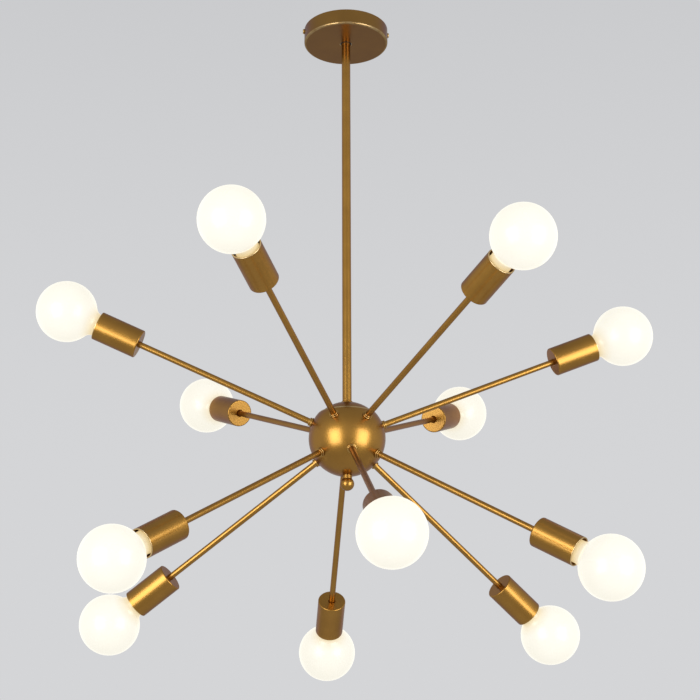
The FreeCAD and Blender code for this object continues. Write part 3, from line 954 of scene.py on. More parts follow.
def helical_relief(start: float, end: float, pitch: float, depth: float, fade: float) -> Relief:
    """A rounded screw thread cut below a plain radius.

    Args:
        start: where the thread begins along the axis.
        end: where it ends.
        pitch: its pitch.
        depth: how deep its roots lie below the crests.
        fade: over what length it runs out at both ends.

    Returns:
        The relief that cuts it.
    """
    def relief(turn: float, along: float, out: float) -> float:
        """The radius at one point of the thread."""
        phase = FULL_TURN * (along - start) / pitch - turn
        run_out = min(1.0, max(0.0, min(along - start, end - along) / fade))
        return out - depth * run_out * (0.5 - 0.5 * math.cos(phase))

    return relief


def hexagon_relief(apothem: float) -> Relief:
    """Six flats round the axis.

    Args:
        apothem: how far the flats lie from the axis.

    Returns:
        The relief that cuts a plain radius back to them.
    """
    def relief(turn: float, along: float, out: float) -> float:
        """The radius at one point, cut back to the nearest flat."""
        sixth = FULL_TURN / HEX_SIDES
        off_middle = (turn + sixth / 2) % sixth - sixth / 2
        return min(out, apothem / math.cos(off_middle))

    return relief


@dataclass(frozen=True)
class HexNut:
    """A chamfered hex nut."""

    width: float
    height: float
    bore: float
    face_share: float = 0.96
    chamfer_angle: float = math.radians(30)
    segments: int = 72
    chamfer_rings: int = 4

    def draw(self, draft: Draft, axis: Axis, foot: float, slot: int = 0) -> None:
        """Add the nut to a draft.

        Args:
            draft: the draft.
            axis: the nut's axis.
            foot: where it stands along the axis.
            slot: which of the piece's finishes it takes.
        """
        apothem = self.width / 2
        corner = apothem / math.cos(math.pi / HEX_SIDES)
        face = apothem * self.face_share
        rise = (corner - face) * math.tan(self.chamfer_angle)
        top = foot + self.height
        outline = Outline().corner(top, self.bore).corner(top, face)
        for ring in range(1, self.chamfer_rings + 1):
            part = ring / self.chamfer_rings
            outline.corner(top - rise * part, face + (corner - face) * part, carved=True)
        for ring in range(self.chamfer_rings, 0, -1):
            part = ring / self.chamfer_rings
            outline.corner(foot + rise * part, face + (corner - face) * part, carved=True)
        outline.corner(foot, face).corner(foot, self.bore)
        draft.turn(axis, outline, self.segments, hexagon_relief(apothem), slot)


# ---------------------------------------------------------------- sub-assemblies


@dataclass(frozen=True)
class Finishes:
    """Every finish of the light, built once."""

    # The canopy's brass is darker than the rest: painted shade, as the cover hangs farther from the lamps.
    shaded_canopy_brass: bpy.types.Material = field(
        default_factory=lambda: SatinBrass(
            "brass_spun_canopy_shaded", Grain.SPUN, 58 * MM, deep=(0.20, 0.093, 0.005),
            bright=(0.28, 0.138, 0.012)).material())
    # The ball's edges and the band round its mouth are painted pale almost evenly: painted highlight, with a
    # little rubbing.
    ball_brass: bpy.types.Material = field(
        default_factory=lambda: SatinBrass("brass_spun_ball", Grain.SPUN, 50 * MM, steady_edge_highlight=0.8).material())
    # The cups' edges and rims are painted pale all round: painted highlight, standing for the bulbs' light
    # on the rims.
    cup_brass: bpy.types.Material = field(
        default_factory=lambda: SatinBrass("brass_spun_cup", Grain.SPUN, 19 * MM, steady_edge_highlight=1.0).material())
    tube_brass: bpy.types.Material = field(
        default_factory=lambda: SatinBrass(
            "brass_drawn_tube", Grain.DRAWN, 4 * MM, grain_share=0.1).material())
    stem_brass: bpy.types.Material = field(
        default_factory=lambda: SatinBrass(
            "brass_drawn_stem", Grain.DRAWN, 6 * MM, grain_share=0.1).material())
    # On the small turned parts every edge and nut corner is painted pale all round, in a deeper pale:
    # painted highlight.
    small_brass: bpy.types.Material = field(
        default_factory=lambda: SatinBrass(
            "brass_turned_small", Grain.SPUN, 6 * MM, edge_wear_and_highlight=(0.60, 0.37, 0.10), steady_edge_highlight=1.0,
            grain_share=0.1).material())
    opal: bpy.types.Material = field(default_factory=lambda: OpalGlass().material())
    cap_metal: bpy.types.Material = field(default_factory=lambda: CapMetal().material())
    black_glass: bpy.types.Material = field(default_factory=lambda: BlackGlass().material())
    zinc: bpy.types.Material = field(default_factory=lambda: ZincSteel().material())
    porcelain: bpy.types.Material = field(default_factory=lambda: Porcelain().material())
    contact: bpy.types.Material = field(default_factory=lambda: ContactBrass().material())
    live_sleeve: bpy.types.Material = field(
        default_factory=lambda: WireSleeve(
            "sleeve_black", (0.02, 0.02, 0.022), (0.07, 0.07, 0.07)).material())
    neutral_sleeve: bpy.types.Material = field(
        default_factory=lambda: WireSleeve(
            "sleeve_white", (0.72, 0.71, 0.67), (0.55, 0.54, 0.50)).material())


def stand_in(piece: bpy.types.Object, body: str, slot: str, *nodes: str) -> bpy.types.Object:
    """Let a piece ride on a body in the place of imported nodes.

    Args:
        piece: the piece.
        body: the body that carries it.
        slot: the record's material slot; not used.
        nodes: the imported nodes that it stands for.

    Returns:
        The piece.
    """
    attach(piece, body)
    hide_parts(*nodes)
    return piece


UPRIGHT = Axis(Vector((0, 0, 0)), Vector((0, 0, 1)))


@dataclass
class Canopy:
    """The spun cover against the ceiling, its crossbar and its two side screws."""

    finishes: Finishes
    wall: float = 1.2 * MM
    edge: float = 2.5 * MM
    bend_rub_and_highlight: float = 0.35
    hole: float = 8 * MM
    rim_round: float = 0.35 * MM
    # The dark ring in the cover's hole is painted shade.
    shade_ring_lip: float = 0.5 * MM
    shade_ring_bore: float = 6.1 * MM
    shade_ring_round: float = 0.15 * MM
    screw_drop: float = 4.5 * MM
    screw_hole: float = 2.2 * MM
    shank: float = 1.95 * MM
    shank_length: float = 8 * MM
    shank_round: float = 0.4 * MM
    head: float = 3.5 * MM
    head_height: float = 2.2 * MM
    head_round: float = 1.0 * MM
    head_seat_round: float = 0.2 * MM
    driver_width: float = 0.9 * MM
    driver_depth: float = 0.8 * MM

    def build(self) -> list[bpy.types.Object]:
        """Build the cover and its screws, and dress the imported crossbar.

        Returns:
            The pieces.
        """
        crossbar = frame["nodes"]["ceiling_crossbar"]
        crossbar.data.materials.clear()
        crossbar.data.materials.append(self.finishes.zinc)
        return [self._cover(), self._shade_ring(), self._side_screws(), crossbar]

    @property
    def _screw_axes(self) -> list[Axis]:
        """The axes of the side screws, outwards."""
        middle = Vector((0, 0, -self.screw_drop))
        return [Axis(middle, Vector((side, 0, 0))) for side in (1, -1)]

    def _cover(self) -> bpy.types.Object:
        """The spun cover with its holes.

        Returns:
            The piece.
        """
        reach = UPRIGHT.span("canopy")
        radius, foot = reach.radius, reach.start
        bend = (foot + self.edge, radius - self.edge)
        inner_bend = self.edge - self.wall
        step = math.radians(9)
        outline = (Outline().corner(0, radius, self.rim_round).corner(0, radius - self.wall, self.rim_round)
                   .corner(bend[0] + Outline.HOLD, radius - self.wall)
                   .arc(bend, inner_bend, math.pi / 2, math.pi, step)
                   .corner(foot + self.wall, bend[1] - Outline.HOLD)
                   .corner(foot + self.wall, self.hole, self.rim_round)
                   .corner(foot, self.hole, self.rim_round)
                   .corner(foot, bend[1] - Outline.HOLD)
                   # The outer bend is painted a little paler: rubbing with painted highlight.
                   .arc(bend, self.edge, math.pi, math.pi / 2, step, edge=self.bend_rub_and_highlight)
                   .corner(bend[0] + Outline.HOLD, radius))
        cover = Draft().turn(UPRIGHT, outline, 160).piece("spun_canopy", self.finishes.shaded_canopy_brass)
        holes = rod_cutter(self._screw_axes, radius - 3 * self.wall, radius + self.wall, self.screw_hole)
        carve(cover, holes)
        return stand_in(cover, FIXTURE, "satin_brass", "canopy")

    def _shade_ring(self) -> bpy.types.Object:
        """A dark ring that lines the cover's hole round the stem: painted shade, put where the gap would
        otherwise show the bright surroundings above the open cover.

        Returns:
            The piece.
        """
        foot = UPRIGHT.span("canopy").start
        top = foot + self.wall + self.shade_ring_lip
        outline = sleeve(foot + self.shade_ring_lip / 2, top, self.hole - self.rim_round / 2, self.shade_ring_bore,
                         self.shade_ring_round)
        # The ring is dark all over: painted shade in the gap round the stem.
        piece = Draft().turn(UPRIGHT, outline, 48).piece("canopy_shade_ring", self.finishes.live_sleeve)
        return stand_in(piece, FIXTURE, "lead_sleeve")

    def _side_screws(self) -> bpy.types.Object:
        """Both side screws, each with a driver slot across its head.

        Returns:
            The piece.
        """
        face = UPRIGHT.span("canopy").radius
        top = face + self.head_height
        draft = Draft()
        slots = Draft()
        for axis in self._screw_axes:
            outline = (Outline().corner(face - self.shank_length, 0)
                       .corner(face - self.shank_length, self.shank, self.shank_round)
                       .corner(face, self.shank).corner(face, self.head, self.head_seat_round)
                       .corner(top, self.head, self.head_round).corner(top, 0))
            draft.turn(axis, outline, 40)
            slot = Outline().corner(-self.head, 0).corner(-self.head, self.driver_width / 2)
            slot.corner(self.head, self.driver_width / 2).corner(self.head, 0)
            slots.turn(Axis(axis.at(top - self.driver_depth / 4), Vector((0, 0, 1))), slot, 4)
        screws = draft.piece("canopy_screws", self.finishes.small_brass)
        carve(screws, slots.piece("cutter"))
        return stand_in(screws, FIXTURE, "satin_brass", "canopy_side_screws")


@dataclass
class Stem:
    """The drop tube, its threaded rods and nuts, its seat and the ring under the canopy."""

    finishes: Finishes
    hub_centre: Vector
    wall: float = 1 * MM
    tube_round: float = 0.25 * MM
    ring_radius: float = 6.8 * MM
    ring_height: float = 2 * MM
    ring_gap: float = 0.3 * MM
    ring_round: float = 0.6 * MM
    fit: float = 0.05 * MM
    rod_bore: float = 3.2 * MM
    rod_pitch: float = 0.95 * MM
    rod_thread: float = 0.45 * MM
    rings_per_pitch: int = 6
    grip: float = 8 * MM
    rod_foot_depth: float = 66.2 * MM
    seat_radius: float = 8 * MM
    seat_height: float = 2 * MM
    seat_round: float = 0.5 * MM
    nut: HexNut = HexNut(14 * MM, 4 * MM, 5 * MM)
    lid_nut_foot: float = 42.198 * MM
    floor_nut_foot: float = 47.82 * MM
    bar_thickness: float = 2 * MM

    def build(self) -> list[bpy.types.Object]:
        """Build every piece on the stem's axis.

        Returns:
            The pieces.
        """
        tube = UPRIGHT.span("stem_tube")
        canopy_foot = UPRIGHT.span("canopy").start
        return [
            self._tube(tube), self._ring(tube, canopy_foot), self._seat(tube),
            self._rod("upper_threaded_rod", tube.end - self.grip, 0.0, tube),
            self._rod("lower_threaded_rod", self.hub_centre.z - self.rod_foot_depth,
                      tube.start + self.grip, tube),
            self._nuts(),
        ]

    def _tube(self, tube: Span) -> bpy.types.Object:
        """The drop tube.

        Args:
            tube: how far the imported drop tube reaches.

        Returns:
            The piece.
        """
        outline = sleeve(tube.start, tube.end, tube.radius, tube.radius - self.wall, self.tube_round)
        piece = Draft().turn(UPRIGHT, outline, 64).piece("stem_pipe", self.finishes.stem_brass)
        return stand_in(piece, FIXTURE, "satin_brass", "stem_tube")

    def _ring(self, tube: Span, canopy_foot: float) -> bpy.types.Object:
        """The ring that covers the canopy's hole.

        Args:
            tube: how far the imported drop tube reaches.
            canopy_foot: where the canopy's underside lies.

        Returns:
            The piece.
        """
        top = canopy_foot - self.ring_gap
        outline = sleeve(top - self.ring_height, top, self.ring_radius, tube.radius + self.fit,
                         self.ring_round)
        piece = Draft().turn(UPRIGHT, outline, 64).piece("stem_ring", self.finishes.small_brass)
        return stand_in(piece, FIXTURE, "satin_brass", "stem_fixings")

    def _seat(self, tube: Span) -> bpy.types.Object:
        """The washer that the tube stands on.

        Args:
            tube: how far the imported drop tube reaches.

        Returns:
            The piece.
        """
        outline = sleeve(tube.start - self.seat_height, tube.start, self.seat_radius, self.nut.bore,
                         self.seat_round)
        piece = Draft().turn(UPRIGHT, outline, 64).piece("stem_seat", self.finishes.small_brass)
        return stand_in(piece, FIXTURE, "satin_brass", "stem_fixings")

    def _rod(self, name: str, foot: float, top: float, tube: Span) -> bpy.types.Object:
        """One hollow rod with a helical thread.

        Args:
            name: its name.
            foot: where it starts, upwards.
            top: where it ends.
            tube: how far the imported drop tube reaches.

        Returns:
            The piece.
        """
        radius = tube.radius - self.wall - self.fit
        rings = round((top - foot) / self.rod_pitch * self.rings_per_pitch)
        outline = Outline().corner(foot, self.rod_bore).carved_run(foot, top, radius, rings)
        outline.corner(top, self.rod_bore)
        relief = helical_relief(foot, top, self.rod_pitch, self.rod_thread, self.rod_pitch)
        piece = Draft().turn(UPRIGHT, outline, 28, relief).piece(name, self.finishes.zinc)
        return stand_in(piece, FIXTURE, "zinc_steel", "stem_fixings")

    def _nuts(self) -> bpy.types.Object:
        """The three nuts: under the crossbar, under the lid and on the ball's floor.

        Returns:
            The piece.
        """
        draft = Draft()
        feet = (-self.bar_thickness - self.nut.height, self.hub_centre.z + self.lid_nut_foot,
                self.hub_centre.z - self.floor_nut_foot)
        for foot in feet:
            self.nut.draw(draft, UPRIGHT, foot)
        return stand_in(draft.piece("rod_nuts", self.finishes.zinc), FIXTURE, "zinc_steel", "stem_fixings")


@dataclass
class Hub:
    """The hollow ball, its lid and the finial that holds it up."""

    finishes: Finishes
    centre: Vector
    arm_axes: Sequence[Axis]
    wall: float = 1.5 * MM
    rod_hole: float = 5 * MM
    rim_round: float = 0.6 * MM
    # The width and paleness of the painted highlight band round the ball's mouth.
    lip_highlight_width: float = 1.5 * MM
    lip_highlight: float = 1.0
    arm_hole: float = 4.1 * MM
    lid_wall: float = 1.3 * MM
    finial_neck: float = 6.25 * MM
    neck_round: float = 0.5 * MM
    finial_bore_floor: float = 4 * MM

    @property
    def axis(self) -> Axis:
        """The upright axis through the ball's centre."""
        return Axis(self.centre, Vector((0, 0, 1)))

    def build(self) -> list[bpy.types.Object]:
        """Build the ball, the lid and the finial."""
        return [self._ball(), self._lid(), self._finial()]

    def _ball(self) -> bpy.types.Object:
        """The ball's shell, open at the top, with its twelve arm holes.

        Returns:
            The piece.
        """
        reach = self.axis.span("hub_ball")
        outer, inner = reach.radius, reach.radius - self.wall
        mouth = reach.end
        clear = 2 * self.rim_round / outer
        lip = math.acos(mouth / outer) + clear
        outline = Outline().arc((0, 0), outer, math.pi - math.asin(self.rod_hole / outer),
                                lip + self.lip_highlight_width / outer, math.radians(2.5))
        # A narrow band round the mouth is painted pale: painted highlight along the ball's lip, with a
        # little rubbing.
        outline.arc((0, 0), outer, lip + 0.8 * self.lip_highlight_width / outer, lip, edge=self.lip_highlight)
        outline.corner(mouth, math.sqrt(outer ** 2 - mouth ** 2), self.rim_round)
        outline.corner(mouth, math.sqrt(inner ** 2 - mouth ** 2), self.rim_round)
        outline.arc((0, 0), inner, math.acos(mouth / inner) + clear,
                    math.pi - math.asin(self.rod_hole / inner), math.radians(6))
        ball = Draft().turn(self.axis, outline, 128).piece("hub_shell", self.finishes.ball_brass)
        carve(ball, rod_cutter(self.arm_axes, inner * 0.9, outer * 1.1, self.arm_hole))
        return stand_in(ball, FIXTURE, "satin_brass", "hub_ball")

    def _lid(self) -> bpy.types.Object:
        """The shallow dome in the ball's mouth.

        Returns:
            The piece.
        """
        reach = self.axis.span("hub_lid")
        foot = reach.start
        outer = math.hypot(foot, reach.radius)
        inner = outer - self.lid_wall
        outline = Outline().arc((0, 0), outer, math.acos(foot / outer), math.asin(self.rod_hole / outer))
        outline.arc((0, 0), inner, math.asin(self.rod_hole / inner), math.acos(foot / inner))
        lid = Draft().turn(self.axis, outline, 96).piece("hub_dome", self.finishes.ball_brass)
        return stand_in(lid, FIXTURE, "satin_brass", "hub_lid")

    def _finial(self) -> bpy.types.Object:
        """The ball nut under the hub, on its short neck.

        Returns:
            The piece.
        """
        reach = self.axis.span("hub_finial")
        middle = reach.start + reach.radius
        neck_angle = math.asin(self.finial_neck / reach.radius)
        outline = Outline().arc((middle, 0), reach.radius, math.pi, neck_angle)
        outline.corner(reach.end, self.finial_neck, self.neck_round)
        outline.corner(reach.end, self.rod_hole).corner(reach.start + self.finial_bore_floor, self.rod_hole)
        outline.corner(reach.start + self.finial_bore_floor, 0)
        finial = Draft().turn(self.axis, outline, 64).piece("finial_ball", self.finishes.small_brass)
        return stand_in(finial, FIXTURE, "satin_brass", "hub_finial")


@dataclass
class ArmSet:
    """What repeats on the twelve arms: tubes, cups, collars, nuts, lampholders and their wires."""

    finishes: Finishes
    axes: Sequence[Axis]
    tube_wall: float = 1 * MM
    tube_round: float = 0.2 * MM
    cup_wall: float = 1 * MM
    cup_edge: float = 1.5 * MM
    cup_rim: float = 0.65 * MM
    cup_bead: float = 1.7 * MM
    cup_bead_run: float = 1.3
    cup_sink: float = 0.8 * MM
    cup_sink_width: float = 1.4 * MM
    thread_fit: float = 0.05 * MM
    collar_band: float = 1.8 * MM
    collar_groove: float = 0.7 * MM
    collar_radius: float = 6.2 * MM
    collar_waist: float = 5.1 * MM
    collar_shoulder: float = 5.6 * MM
    collar_round: float = 0.55 * MM
    collar_seat_round: float = 0.2 * MM
    shoulder_round: float = 0.3 * MM
    nut: HexNut = HexNut(11 * MM, 3.5 * MM, 4.05 * MM, segments=48)
    nut_margin: float = 1 * MM
    holder_bore: float = 14 * MM
    holder_floor: float = 6 * MM
    holder_round: float = 1 * MM
    holder_lip_share: float = 0.6
    groove_half: float = 1 * MM
    groove_floor_half: float = 0.6 * MM
    groove_depth: float = 0.7 * MM
    shell_fit: float = 0.05 * MM
    shell_wall: float = 0.5 * MM
    shell_pitch: float = 3.6 * MM
    shell_thread: float = 0.25 * MM
    shell_rings_per_pitch: int = 6
    contact_radius: float = 6 * MM
    contact_plate: float = 1 * MM
    contact_round: float = 0.3 * MM
    contact_pin: float = 2.5 * MM
    pin_height: float = 15.8 * MM
    pin_round: float = 0.8 * MM
    lead_radius: float = 1.1 * MM
    lead_round: float = 0.3 * MM
    lead_offset: float = 1.3 * MM
    lead_start: float = 7 * MM
    lead_seat: float = 1 * MM
    supply_stop: float = 2 * MM
    near: float = 22 * MM

    def build(self) -> list[bpy.types.Object]:
        """Build the pieces of every arm, and those that they share.

        Returns:
            The pieces.
        """
        made = []
        for number, axis in enumerate(self.axes, 1):
            made += [self._tube(number, axis), self._cup(number, axis)]
        made += [self._collars(), self._nuts(), self._holders(), self._contacts(), self._leads()]
        return made

    def _tube(self, number: int, axis: Axis) -> bpy.types.Object:
        """One arm's tube.

        Args:
            number: the arm's number.
            axis: its axis.

        Returns:
            The piece.
        """
        node = f"arm_tube_{number:02d}"
        reach = axis.span(node)
        outline = sleeve(reach.start, reach.end, reach.radius, reach.radius - self.tube_wall,
                         self.tube_round)
        piece = Draft().turn(axis, outline, 40).piece(f"brass_tube_{number:02d}", self.finishes.tube_brass)
        return stand_in(piece, FIXTURE, "satin_brass", node)

    def _cup(self, number: int, axis: Axis) -> bpy.types.Object:
        """One lamp cup, with a rounded base, a sunk hole for the arm and a rim rolled inwards.

        Args:
            number: the arm's number.
            axis: its axis.

        Returns:
            The piece.
        """
        node = f"lamp_cup_{number:02d}"
        reach = axis.span(node)
        base, mouth, radius = reach.start, reach.end, reach.radius
        bore = radius - self.cup_wall
        bend = (base + self.cup_edge, radius - self.cup_edge)
        step = math.radians(11)
        hole = axis.span(f"arm_tube_{number:02d}").radius + self.thread_fit
        bead = radius - self.cup_bead
        outline = (Outline().corner(base + self.cup_sink, hole).corner(base, hole + self.cup_sink_width)
                   .corner(base, bend[1] - Outline.HOLD)
                   .arc(bend, self.cup_edge, math.pi, math.pi / 2, step)
                   .corner(bend[0] + Outline.HOLD, radius)
                   .corner(mouth, radius, self.cup_rim).corner(mouth, bead, self.cup_rim)
                   .corner(mouth - self.cup_bead, bead)
                   .corner(mouth - self.cup_bead_run * self.cup_bead, bore)
                   .corner(bend[0] + Outline.HOLD, bore)
                   .arc(bend, self.cup_edge - self.cup_wall, math.pi / 2, math.pi, step)
                   .corner(base + self.cup_wall, bend[1] - Outline.HOLD).corner(base + self.cup_wall, hole))
        piece = Draft().turn(axis, outline, 80).piece(f"brass_cup_{number:02d}", self.finishes.cup_brass)
        return stand_in(piece, FIXTURE, "satin_brass", node)

    def _collars(self) -> bpy.types.Object:
        """The grooved collar on each arm, against the ball.

        Returns:
            The piece.
        """
        draft = Draft()
        for axis in self.axes:
            hole = self.nut.bore
            seat = axis.span("hub_ball", self.collar_radius).end
            band_end = seat + self.collar_band
            groove_end = band_end + self.collar_groove
            end = groove_end + self.collar_band
            outline = (Outline().corner(seat, hole)
                       .corner(seat, self.collar_radius, self.collar_seat_round)
                       .corner(band_end, self.collar_radius, self.collar_round)
                       .corner(band_end, self.collar_waist).corner(groove_end, self.collar_waist)
                       .corner(groove_end, self.collar_shoulder, self.shoulder_round)
                       .corner(end, self.collar_shoulder, self.collar_round).corner(end, hole))
            draft.turn(axis, outline, 32)
        piece = draft.piece("arm_collars", self.finishes.small_brass)
        return stand_in(piece, FIXTURE, "satin_brass", "arm_lock_nuts")

    def _nuts(self) -> bpy.types.Object:
        """The hex nuts inside the ball and inside the cups.

        Returns:
            The piece.
        """
        draft = Draft()
        for number, axis in enumerate(self.axes, 1):
            tube = axis.span(f"arm_tube_{number:02d}")
            self.nut.draw(draft, axis, tube.start + self.nut_margin)
            self.nut.draw(draft, axis, tube.end - self.nut_margin - self.nut.height)
        piece = draft.piece("arm_hex_nuts", self.finishes.small_brass)
        return stand_in(piece, FIXTURE, "satin_brass", "arm_lock_nuts")

    def _holders(self) -> bpy.types.Object:
        """The glazed porcelain bodies in the cups, with a moulded groove round each.

        Returns:
            The piece.
        """
        draft = Draft()
        for axis in self.axes:
            reach = axis.span("lampholder_bodies", self.near)
            floor = reach.start + self.holder_floor
            groove = (reach.start + reach.end) / 2
            groove_floor = reach.radius - self.groove_depth
            hole = self.nut.bore + self.thread_fit
            outline = (Outline().corner(reach.start, hole)
                       .corner(reach.start, reach.radius, self.holder_round)
                       .corner(groove - self.groove_half, reach.radius)
                       .corner(groove - self.groove_floor_half, groove_floor)
                       .corner(groove + self.groove_floor_half, groove_floor)
                       .corner(groove + self.groove_half, reach.radius)
                       .corner(reach.end, reach.radius, self.holder_round)
                       .corner(reach.end, self.holder_bore, self.holder_round * self.holder_lip_share)
                       .corner(floor, self.holder_bore).corner(floor, hole))
            draft.turn(axis, outline, 56)
        return stand_in(draft.piece("porcelain_bodies", self.finishes.porcelain), FIXTURE, "porcelain",
                        "lampholder_bodies")

    def _contacts(self) -> bpy.types.Object:
        """The rolled screw shell and the riveted centre contact in each lampholder.

        Returns:
            The piece.
        """
        draft = Draft()
        for axis in self.axes:
            reach = axis.span("lampholder_contacts", self.near)
            floor, mouth = reach.start, reach.end
            outer = self.holder_bore - self.shell_fit
            inner = outer - self.shell_wall
            rings = round((mouth - floor) / self.shell_pitch * self.shell_rings_per_pitch)
            outline = Outline().carved_run(floor, mouth, outer, rings)
            outline.carved_run(mouth, floor, inner, rings)
            relief = helical_relief(floor, mouth, self.shell_pitch, self.shell_thread, self.shell_pitch)
            draft.turn(axis, outline, 36, relief)
            pin_top = floor + self.pin_height
            contact = (Outline().corner(floor, 0).corner(floor, self.contact_radius)
                       .corner(floor + self.contact_plate, self.contact_radius, self.contact_round)
                       .corner(floor + self.contact_plate, self.contact_pin)
                       .corner(pin_top, self.contact_pin, self.pin_round).corner(pin_top, 0))
            draft.turn(axis, contact, 32)
        return stand_in(draft.piece("holder_contacts", self.finishes.contact), FIXTURE, "contact_brass",
                        "lampholder_contacts")

    def _leads(self) -> bpy.types.Object:
        """The pairs of sleeved wires in the arms and down the stem.

        Returns:
            The piece.
        """
        draft = Draft()
        for axis in self.axes:
            holder = axis.span("lampholder_bodies", self.near)
            end = holder.start + self.holder_floor - self.lead_seat
            self._pair(draft, axis, self.lead_start, end)
        supply = Axis(self.axes[0].origin, Vector((0, 0, 1)))
        self._pair(draft, supply, 0.0, -supply.origin.z - self.supply_stop)
        return stand_in(draft.piece("lamp_wires", self.finishes.live_sleeve, self.finishes.neutral_sleeve),
                        FIXTURE, "lead_sleeve", "lamp_leads")

    def _pair(self, draft: Draft, axis: Axis, start: float, end: float) -> None:
        """Add a black and a white wire side by side.

        Args:
            draft: the draft that they go into.
            axis: the line midway between them.
            start: where they begin along it.
            end: where they end.
        """
        for slot, sign in enumerate((1, -1)):
            outline = (Outline().corner(start, 0).corner(start, self.lead_radius, self.lead_round)
                       .corner(end, self.lead_radius, self.lead_round).corner(end, 0))
            draft.turn(axis.beside(sign * self.lead_offset), outline, 16, slot=slot)


@dataclass
class BulbSet:
    """The twelve globe bulbs, each on its own body: opal glass, screw cap, insulator and button."""

    finishes: Finishes
    axes: Sequence[Axis]
    glass: float = 1 * MM
    ease: float = 0.02 * MM
    neck: float = 14.5 * MM
    flare: float = 12 * MM
    neck_straight: float = 6.3 * MM
    neck_round: float = 0.7 * MM
    tail: float = 6 * MM
    tail_radius: float = 11.7 * MM
    cap_radius: float = 13.1 * MM
    cap_inside: float = 11.8 * MM
    cap_round: float = 0.3 * MM
    thread_depth: float = 0.8 * MM
    skirt: float = 5 * MM
    pitch: float = 3.6 * MM
    turns: int = 5
    insulator: float = 3.2 * MM
    insulator_round: float = 0.4 * MM
    button: float = 4.5 * MM
    button_height: float = 1.2 * MM
    button_shoulder: float = 0.9
    button_tip: float = 0.5
    shoulder_round: float = 0.4 * MM
    tip_round: float = 0.5 * MM
    rings_per_turn: int = 10

    def build(self) -> list[bpy.types.Object]:
        """Build every bulb.

        Returns:
            The pieces.
        """
        made = []
        for number, axis in enumerate(self.axes, 1):
            made += [self._globe(number, axis), self._base(number, axis)]
        return made

    def _globe(self, number: int, axis: Axis) -> bpy.types.Object:
        """One glass globe with its flared neck and the tail that the cap holds.

        Args:
            number: the bulb's number.
            axis: its arm's axis.

        Returns:
            The piece.
        """
        node = f"bulb_globe_{number:02d}"
        reach = axis.span(node)
        globe = reach.radius - self.ease
        centre = (reach.end - reach.radius, 0.0)
        rise = self.neck + self.flare
        run = math.sqrt((globe + self.flare) ** 2 - rise ** 2)
        tangent = math.atan2(rise, -run)
        flare_centre = (centre[0] - run, rise)
        flare_start = math.atan2(-rise, run)
        neck_foot = flare_centre[0] - self.neck_straight
        tail_foot = neck_foot - self.tail
        coarse = math.radians(8)
        outline = (Outline().arc(centre, globe, 0.0, tangent)
                   .arc(flare_centre, self.flare, flare_start, -math.pi / 2, coarse)
                   .corner(neck_foot, self.neck, self.neck_round)
                   .corner(neck_foot, self.tail_radius).corner(tail_foot, self.tail_radius)
                   .corner(tail_foot, self.tail_radius - self.glass)
                   .corner(neck_foot + self.glass, self.tail_radius - self.glass)
                   .corner(neck_foot + self.glass, self.neck - self.glass)
                   .arc(flare_centre, self.flare + self.glass, -math.pi / 2, flare_start, coarse)
                   .arc(centre, globe - self.glass, tangent, 0.0, coarse))
        piece = Draft().turn(axis, outline, 72).piece(f"opal_globe_{number:02d}", self.finishes.opal)
        return stand_in(piece, f"bulb_{number:02d}", "opal_glass", node)

    def _base(self, number: int, axis: Axis) -> bpy.types.Object:
        """One screw cap with a rolled thread, its black glass and its soldered button.

        Args:
            number: the bulb's number.
            axis: its arm's axis.

        Returns:
            The piece.
        """
        node = f"bulb_base_{number:02d}"
        reach = axis.span(node)
        thread_top = reach.end - self.skirt
        thread_foot = thread_top - self.turns * self.pitch
        button_seat = thread_foot - self.insulator
        root = self.cap_radius - self.thread_depth
        relief = helical_relief(thread_foot, thread_top, self.pitch, self.thread_depth, self.pitch)
        cap = Outline().corner(reach.end, self.cap_inside).corner(reach.end, self.cap_radius, self.cap_round)
        cap.carved_run(thread_top, thread_foot, self.cap_radius, self.turns * self.rings_per_turn)
        cap.corner(thread_foot, self.cap_inside)
        glass = (Outline().corner(thread_foot, 0).corner(thread_foot, root, self.insulator_round)
                 .corner(button_seat, self.button).corner(button_seat, 0))
        solder = (Outline().corner(button_seat, 0).corner(button_seat, self.button)
                  .corner(button_seat - self.button_height * 0.5, self.button * self.button_shoulder,
                          self.shoulder_round)
                  .corner(reach.start, self.button * self.button_tip, self.tip_round)
                  .corner(reach.start, 0))
        draft = Draft().turn(axis, cap, 56, relief, 0).turn(axis, glass, 40, None, 1)
        draft.turn(axis, solder, 32, None, 0)
        piece = draft.piece(f"screw_cap_{number:02d}", self.finishes.cap_metal, self.finishes.black_glass)
        return stand_in(piece, f"bulb_{number:02d}", "cap_metal", node)


# ---------------------------------------------------------------- studio and camera


